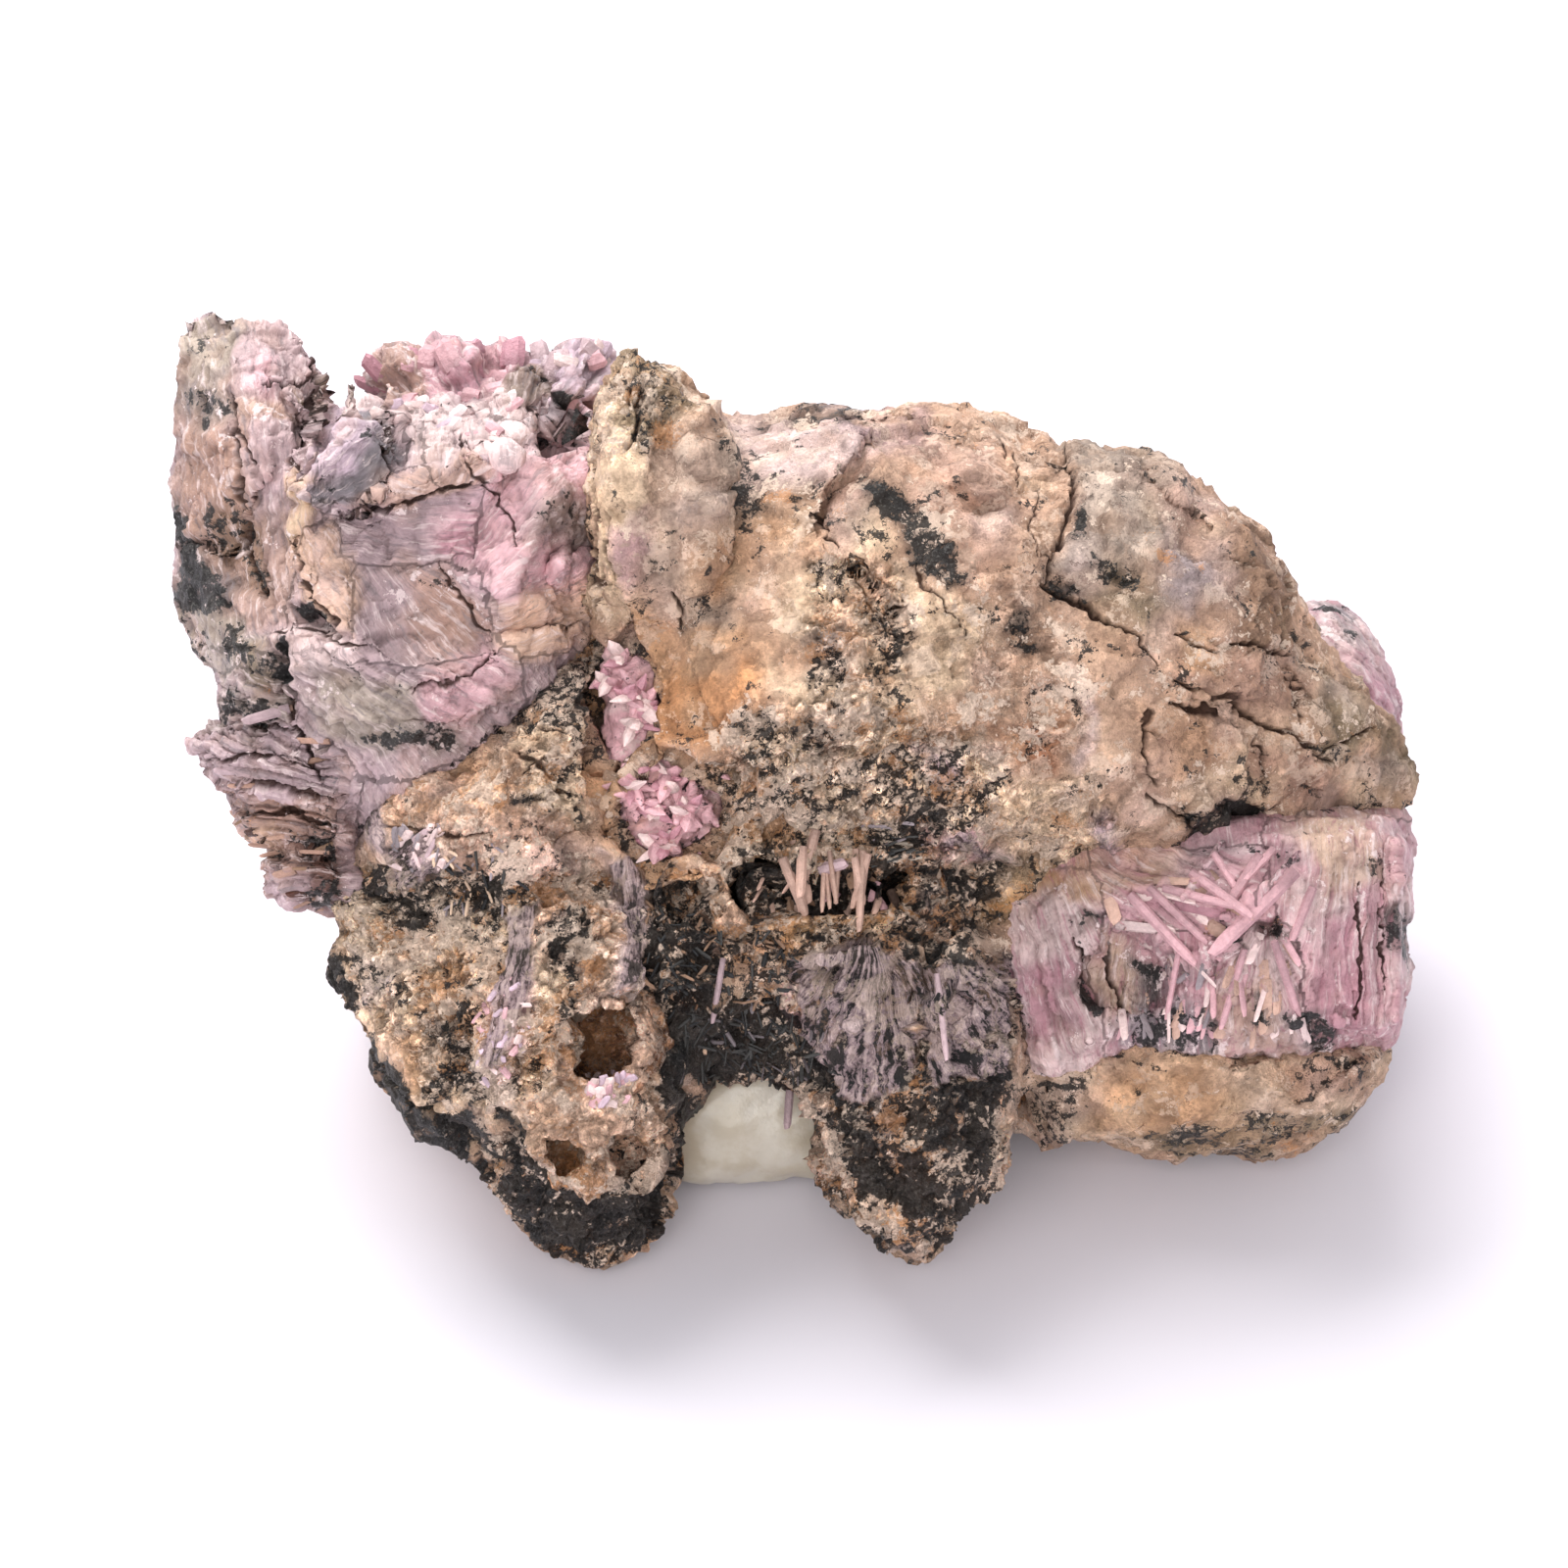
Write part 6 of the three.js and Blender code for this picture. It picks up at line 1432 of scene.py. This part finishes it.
def build_fibrous(name, node, material, cracks, sheaves, patches, corners, faces, far, hues,
                  rough, tone, seed):
    """A fibrous mineral, with its mesh for the blades that stand on it."""
    points, triangles = detailed(node, cracks)
    front = facing(points, normals_of(points, triangles))
    points = faceted(points, front, None, corners, faces)
    normals = normals_of(points, triangles)
    seam = joined(points, node)
    tint, lift, black = patched(points, front, far[0], patches, far, seed + 30)
    bundle, streak, fibre = fibres(points, sheaves, seed)
    height, border, plates = broken(points, (5.5, 2.2, 1.0), (0.5, 0.3, 0.12), seed + 10)
    height = (height + terraces(points, 5.0, 0.16, seed + 15)) * rough
    height = height + 0.1 * fractal(points, 2.0, seed + 20, 3)
    depth, dark = cracked(points, cracks)
    height += (bundle - depth) * front + 0.1 + 0.7 * seam + lift
    moved = points + normals * height[:, None]

    # hollow is painted shade in small dents and along the borders of the broken faces, darkest in the drawn
    # cracks
    hollow = np.maximum(dent_shade(triangles, height) * 0.35, np.minimum(dark * front * 1.2, 1))
    hollow = np.maximum(hollow, 0.1 * border)
    tint = mottled(points, tone * tint * (1 + 0.16 * plates)[:, None], hues, seed + 60)
    black = speckled(points, black + 0.22 * seam * (1 - smooth(0, 0.5, black)), seed + 80)
    pale = speckled(points, 0.2 + 0.15 * streak, seed + 90)
    rust = speckled(points, 0.06 + 0.2 * fractal(points, 6.0, seed + 70), seed + 94)
    none = np.zeros(len(points))
    layers = {
        "tint": limited(tint * (1 + 0.16 * (streak * front))[:, None]),
        "stain": stacked(black, pale, rust),
        "form": np.clip(stacked(hollow, none, none), 0, 1),
        "fibre": fibre,
    }
    make(name, node, moved, triangles, layers, material)
    return moved, triangles


def build_crust():
    """The crust in the hollow, with its mesh for the crystals that stand on it."""
    points, triangles = base["vug_crystals"]
    height, border, _ = broken(points, (2.2, 0.9), (0.4, 0.3), 900)
    moved = points + normals_of(points, triangles) * (0.15 + height)[:, None]
    pink = np.tile(PINK * 1.25, (len(points), 1))
    none = np.zeros(len(points))
    layers = {
        "tint": mottled(points, pink, ((PALE_PINK, 2.0, 0.6), (OCHRE, 2.6, 0.5)), 910),
        "stain": stacked(speckled(points, none + 0.3, 920), speckled(points, none + 0.3, 930), none),
        # painted shade along the borders between the crust's crystals
        "form": stacked(0.35 * border, none, none),
    }
    make("hollow_crust", "vug_crystals", moved, triangles, layers, crust_material)
    return moved, triangles


def build_calcite():
    """The calcite lump, worn smooth."""
    points, triangles = base["calcite"]
    points = relaxed(points, triangles, 3)
    height, _, _ = broken(points, (5.0, 2.0), (0.4, 0.12), 950)
    moved = on_floor(points + normals_of(points, triangles) * (0.3 + height)[:, None])
    make("calcite_lump", "calcite", moved, triangles, {}, calcite_material)


rock = build_rock()
mass = build_fibrous("grey_pink_mass", "inesite_mass", mass_material, MASS_CRACKS,
                     MASS_FIBRES, MASS_PATCHES, MASS_CORNERS, MASS_FACES, MASS_FAR_COLOURS, MASS_HUES,
                     rough=0.9, tone=0.97, seed=500)
vein = build_fibrous("pink_vein", "inesite_vein", vein_material, VEIN_CRACKS,
                     VEIN_FIBRES, VEIN_PATCHES, {}, "", VEIN_FAR_COLOURS, VEIN_HUES,
                     rough=0.4, tone=0.87, seed=700)
crust = build_crust()
build_calcite()


# Blades and small crystals

def unit(vectors):
    return vectors / np.maximum(np.linalg.norm(vectors, axis=1), TINY)[:, None]


# A crystal's corners round it, and its painted shade at each ring from the root to the end: darker at the
# sunk root where it meets the surface, lighter at the end
CRYSTAL_SIDES = 6
CRYSTAL_PAINTED_SHADE = (0.62, 0.86, 1.0, 1.08)
CRYSTAL_POINTS = CRYSTAL_SIDES * len(CRYSTAL_PAINTED_SHADE)


def prisms(roots, axes, sides, lengths, widths, flatness, shoulder, tip):
    """Crystals: a sunk root, a shoulder and a narrow slanted end, closed at both ends."""
    across = unit(np.cross(axes, sides))
    sides = unit(np.cross(across, axes))
    angle = np.arange(CRYSTAL_SIDES) * 2 * math.pi / CRYSTAL_SIDES
    rings = []
    for at, size, slant in ((-0.2, 0.9, 0.0), (0.12, 1.0, 0.0), (shoulder, 0.92, 0.0), (1.0, tip, 0.4)):
        wide = 0.5 * widths[:, None] * size * np.cos(angle)[None, :]
        thick = 0.5 * (widths * flatness)[:, None] * size * np.sin(angle)[None, :]
        up = lengths[:, None] * at + slant * wide
        ring = roots[:, None] + axes[:, None] * up[..., None] + across[:, None] * wide[..., None]
        rings.append(ring + sides[:, None] * thick[..., None])
    faces = []
    last = CRYSTAL_POINTS - CRYSTAL_SIDES
    for low in range(0, last, CRYSTAL_SIDES):
        for k in range(CRYSTAL_SIDES):
            a, b = low + k, low + (k + 1) % CRYSTAL_SIDES
            faces += [(a, b, b + CRYSTAL_SIDES), (a, b + CRYSTAL_SIDES, a + CRYSTAL_SIDES)]
    for k in range(1, CRYSTAL_SIDES - 1):
        faces += [(0, k + 1, k), (last, last + k, last + k + 1)]
    triangles = np.array(faces)[None] + (np.arange(len(roots)) * CRYSTAL_POINTS)[:, None, None]
    return np.stack(rings, axis=1).reshape(-1, 3), triangles.reshape(-1, 3)


class Blades:
    """Crystals gathered for one piece."""

    def __init__(self, mesh, smooth_mesh, seed):
        self.tree = tree_of([mesh])
        self.smooth_tree = tree_of([smooth_mesh])
        self.rng = np.random.default_rng(seed)
        self.rows = []

    def grow(self, x, y, heading, lift, length, width, flatness, colour, spread):
        """One crystal from a drawn point, heading across the drawing and lifted out of the surface."""
        place, normal = ray(self.tree, x, y)
        below, level = ray(self.smooth_tree, x, y)
        if place is None or below is None:
            return
        normal = unit(np.array([0.5 * np.array(normal) + np.array(level) + 0.4 * TO_EYE]))[0]
        turn = math.atan2(heading[1], heading[0]) + spread
        along = math.cos(turn) * RIGHT - math.sin(turn) * UP
        along = along - (along @ normal) * normal
        along /= max(np.linalg.norm(along), TINY)
        axis = math.cos(lift) * along + math.sin(lift) * normal
        root = np.array(place) - (0.05 + 0.3 * width * flatness) * normal
        self.rows.append((root, axis, normal, length, width, flatness, colour))

    def spray(self, outline, count, kind, aim, spread, lift, short, long, narrow, wide, flatness, colours):
        """Many crystals inside a drawn outline."""
        xs = [p[0] for p in outline]
        ys = [p[1] for p in outline]
        rng = self.rng
        made = 0
        while made < count:
            x, y = rng.uniform(min(xs), max(xs)), rng.uniform(min(ys), max(ys))
            values = rng.random(4)
            turns = rng.normal(0, 1, 2)
            which = rng.integers(len(colours))
            if inside_by(np.array([x]), np.array([y]), outline)[0] < 0:
                continue
            made += 1
            heading = (x - aim[0], y - aim[1]) if kind == "from" else aim
            size = short + (long - short) * values[0] ** 1.6
            reach = np.array(heading) / math.hypot(*heading) / PIXEL
            past = inside_by(*(np.array([[x], [y]]) + size * reach[:, None]), outline)[0]
            if past < -BLADE_OVERHANG:
                size = max(0.4 * size, size + (past + BLADE_OVERHANG) * PIXEL)
            width = narrow + (wide - narrow) * values[1] ** 1.5
            colour = colours[which] * (0.82 + 0.36 * values[2])
            rise = math.radians(lift * (0.35 + 1.1 * values[3]))
            self.grow(x, y, heading, rise, size, width, flatness, colour, math.radians(spread) * turns[0])

    def single(self, start, end, width, colour):
        """One long crystal that lies over the surface between two drawn points."""
        steps = np.linspace(0, 1, 9)
        line = np.array(start) + steps[:, None] * (np.array(end) - start)
        places = [ray(self.tree, *point)[0] for point in line]
        if places[0] is None:
            return
        places = np.array([places[0] if place is None else place for place in places])
        toward = drawn(places)[2]
        toward = np.where(np.abs(toward - toward[0]) > 5, toward[0], toward)
        chord = toward[0] + steps * (toward[-1] - toward[0])
        lift = 0.7 * max((toward - chord).max(), 0) + 0.2 * width
        low = EYE + sight(*start) * (1 - (toward[0] + lift) / VIEW_DISTANCE)
        high = EYE + sight(*end) * (1 - (toward[-1] + lift) / VIEW_DISTANCE)
        run = high - low
        length = float(np.linalg.norm(run))
        tone = colour * self.rng.uniform(0.8, 1.12)
        self.rows.append((low + 0.17 * run, run / length, TO_EYE, 0.83 * length, width, 0.7, tone))

    def bridge(self, start, end, width, colour):
        """A ragged bundle whose two ends stand on the surface."""
        low, _ = ray(self.tree, *start)
        high, _ = ray(self.tree, *end)
        if low is None or high is None:
            return
        for _ in range(5):
            low_end = np.array(low) + self.rng.normal(0, 0.3 * width, 3)
            high_end = np.array(high) + self.rng.normal(0, 0.42 * width, 3)
            run = high_end - low_end
            length = float(np.linalg.norm(run)) * self.rng.uniform(0.6, 1.2)
            tone = colour * self.rng.uniform(0.7, 1.15)
            self.rows.append((low_end, run / np.linalg.norm(run), TO_EYE, length, 0.42 * width, 0.7, tone))

    def burst(self, middle, reach, count):
        """Crystals that point all round from one place, out of the surface."""
        place, _ = ray(self.tree, *middle)
        _, level = ray(self.smooth_tree, *middle)
        if place is None or level is None:
            return
        out = unit(np.array([np.array(level) + 1.2 * TO_EYE]))[0]
        side = np.cross(out, RIGHT)
        side /= np.linalg.norm(side)
        other = np.cross(side, out)
        rng = self.rng
        for k in range(count):
            rise = 0.02 + 0.98 * (k + 0.5) / count
            turn = k * GOLDEN_ANGLE + rng.normal(0, 0.3)
            flat = math.sqrt(1 - rise * rise)
            axis = rise * out + flat * (math.cos(turn) * side + math.sin(turn) * other)
            length = reach * (0.7 + 0.75 * rng.random() ** 2)
            width = 0.7 + 0.7 * rng.random()
            colour = (PALE_PINK, PINK, PINK, SOFT_ROSE)[rng.integers(4)] * (0.95 + 0.35 * rng.random())
            root = np.array(place) + 0.3 * rng.normal(0, 1, 3)
            self.rows.append((root, axis, np.cross(axis, RIGHT) + 0.01, length, width, 0.6, colour))

    def finish(self, name, node, material, shoulder=0.84, tip=0.55):
        """All the crystals as one shown piece."""
        columns = list(zip(*self.rows))
        roots, axes, sides = (np.array(column) for column in columns[:3])
        lengths, widths, flatness = (np.array(column) for column in columns[3:6])
        colours = np.array(columns[6])
        points, triangles = prisms(roots, unit(axes), unit(sides), lengths, widths, flatness, shoulder, tip)
        # painted shade: each crystal darker at its root and lighter at its end
        painted_ring_shade = np.repeat(CRYSTAL_PAINTED_SHADE, CRYSTAL_SIDES)
        tint = np.clip(colours[:, None] * painted_ring_shade[None, :, None], 0, 1).reshape(-1, 3)
        none = np.zeros(len(points))
        stain = self.rng.uniform(0.05, 0.36, len(roots))
        layers = {
            "tint": tint,
            "stain": stacked(np.repeat(stain, CRYSTAL_POINTS), none + 0.15, none),
            "form": stacked(none, none, none),
        }
        make(name, node, on_floor(points), triangles, layers, material, flat=True)


vein_blades = Blades(vein, base["inesite_vein"], 21)
for spray in VEIN_SPRAYS.values():
    vein_blades.spray(*spray)
for start, end, width in VEIN_BLADES.values():
    vein_blades.single(start, end, width, PINK)
vein_blades.finish("vein_blades", "inesite_vein", blade_material)

mass_blades = Blades(mass, base["inesite_mass"], 22)
for spray in MASS_SPRAYS.values():
    mass_blades.spray(*spray)
mass_blades.finish("mass_blades", "inesite_mass", blade_material)

rock_blades = Blades(rock, base["matrix"], 23)
for spray in ROCK_SPRAYS.values():
    rock_blades.spray(*spray)
for start, end, width in ROCK_BLADES.values():
    rock_blades.single(start, end, width, SOFT_MAUVE)
for start, end, width in ROCK_PILLARS.values():
    rock_blades.bridge(start, end, width, ROSY_TAN)
rock_blades.finish("rock_crystals", "matrix", blade_material)

hollow_blades = Blades(crust, base["vug_crystals"], 24)
for middle, reach, count in BURSTS.values():
    hollow_blades.burst(middle, reach, count)
hollow_blades.finish("hollow_crystals", "vug_crystals", crust_material,
                     shoulder=0.6, tip=0.14)


# The table, the light and the eye

bpy.ops.mesh.primitive_plane_add(size=6)
floor = bpy.context.object
floor.name = "table"
floor_material = bpy.data.materials.new("pale_table")
floor_material.use_nodes = True
floor_shader = floor_material.node_tree.nodes["Principled BSDF"]
floor_shader.inputs["Base Color"].default_value = (0.72, 0.695, 0.76, 1)
floor_shader.inputs["Roughness"].default_value = 0.9
floor_shader.inputs["Specular IOR Level"].default_value = 0.1
floor.data.materials.append(floor_material)

scene = bpy.context.scene
world = scene.world or bpy.data.worlds.new("studio")
scene.world = world
world.use_nodes = True
sky = world.node_tree.nodes["Background"]
sky.inputs["Color"].default_value = (0.97, 0.98, 1.0, 1)
sky.inputs["Strength"].default_value = 0.71


def lamp(name, place, target, size, power, colour):
    """A soft square lamp; place and target in metres."""
    data = bpy.data.lights.new(name, "AREA")
    data.size = size
    data.energy = power
    data.color = colour
    made = bpy.data.objects.new(name, data)
    made.location = place
    made.rotation_euler = (Vector(target) - Vector(place)).to_track_quat("-Z", "Y").to_euler()
    scene.collection.objects.link(made)


lamp("window", (-0.22, 0.42, 0.66), (0, 0.05, 0.02), 0.7, 11.0, (1.0, 0.99, 0.97))
lamp("front_fill", (-0.1, -0.7, 0.5), (0, 0, 0.03), 0.6, 4.6, (1.0, 0.97, 0.94))

camera_data = bpy.data.cameras.new("eye")
camera_data.sensor_width = SENSOR
camera_data.lens = SENSOR * VIEW_DISTANCE / (DRAWING_SIZE * PIXEL)
camera_data.clip_start = 0.01
camera = bpy.data.objects.new("eye", camera_data)
camera.location = Vector(EYE * MM)
camera.rotation_euler = Vector(-TO_EYE).to_track_quat("-Z", "Y").to_euler()
scene.collection.objects.link(camera)
scene.camera = camera
scene.view_settings.view_transform = "Standard"
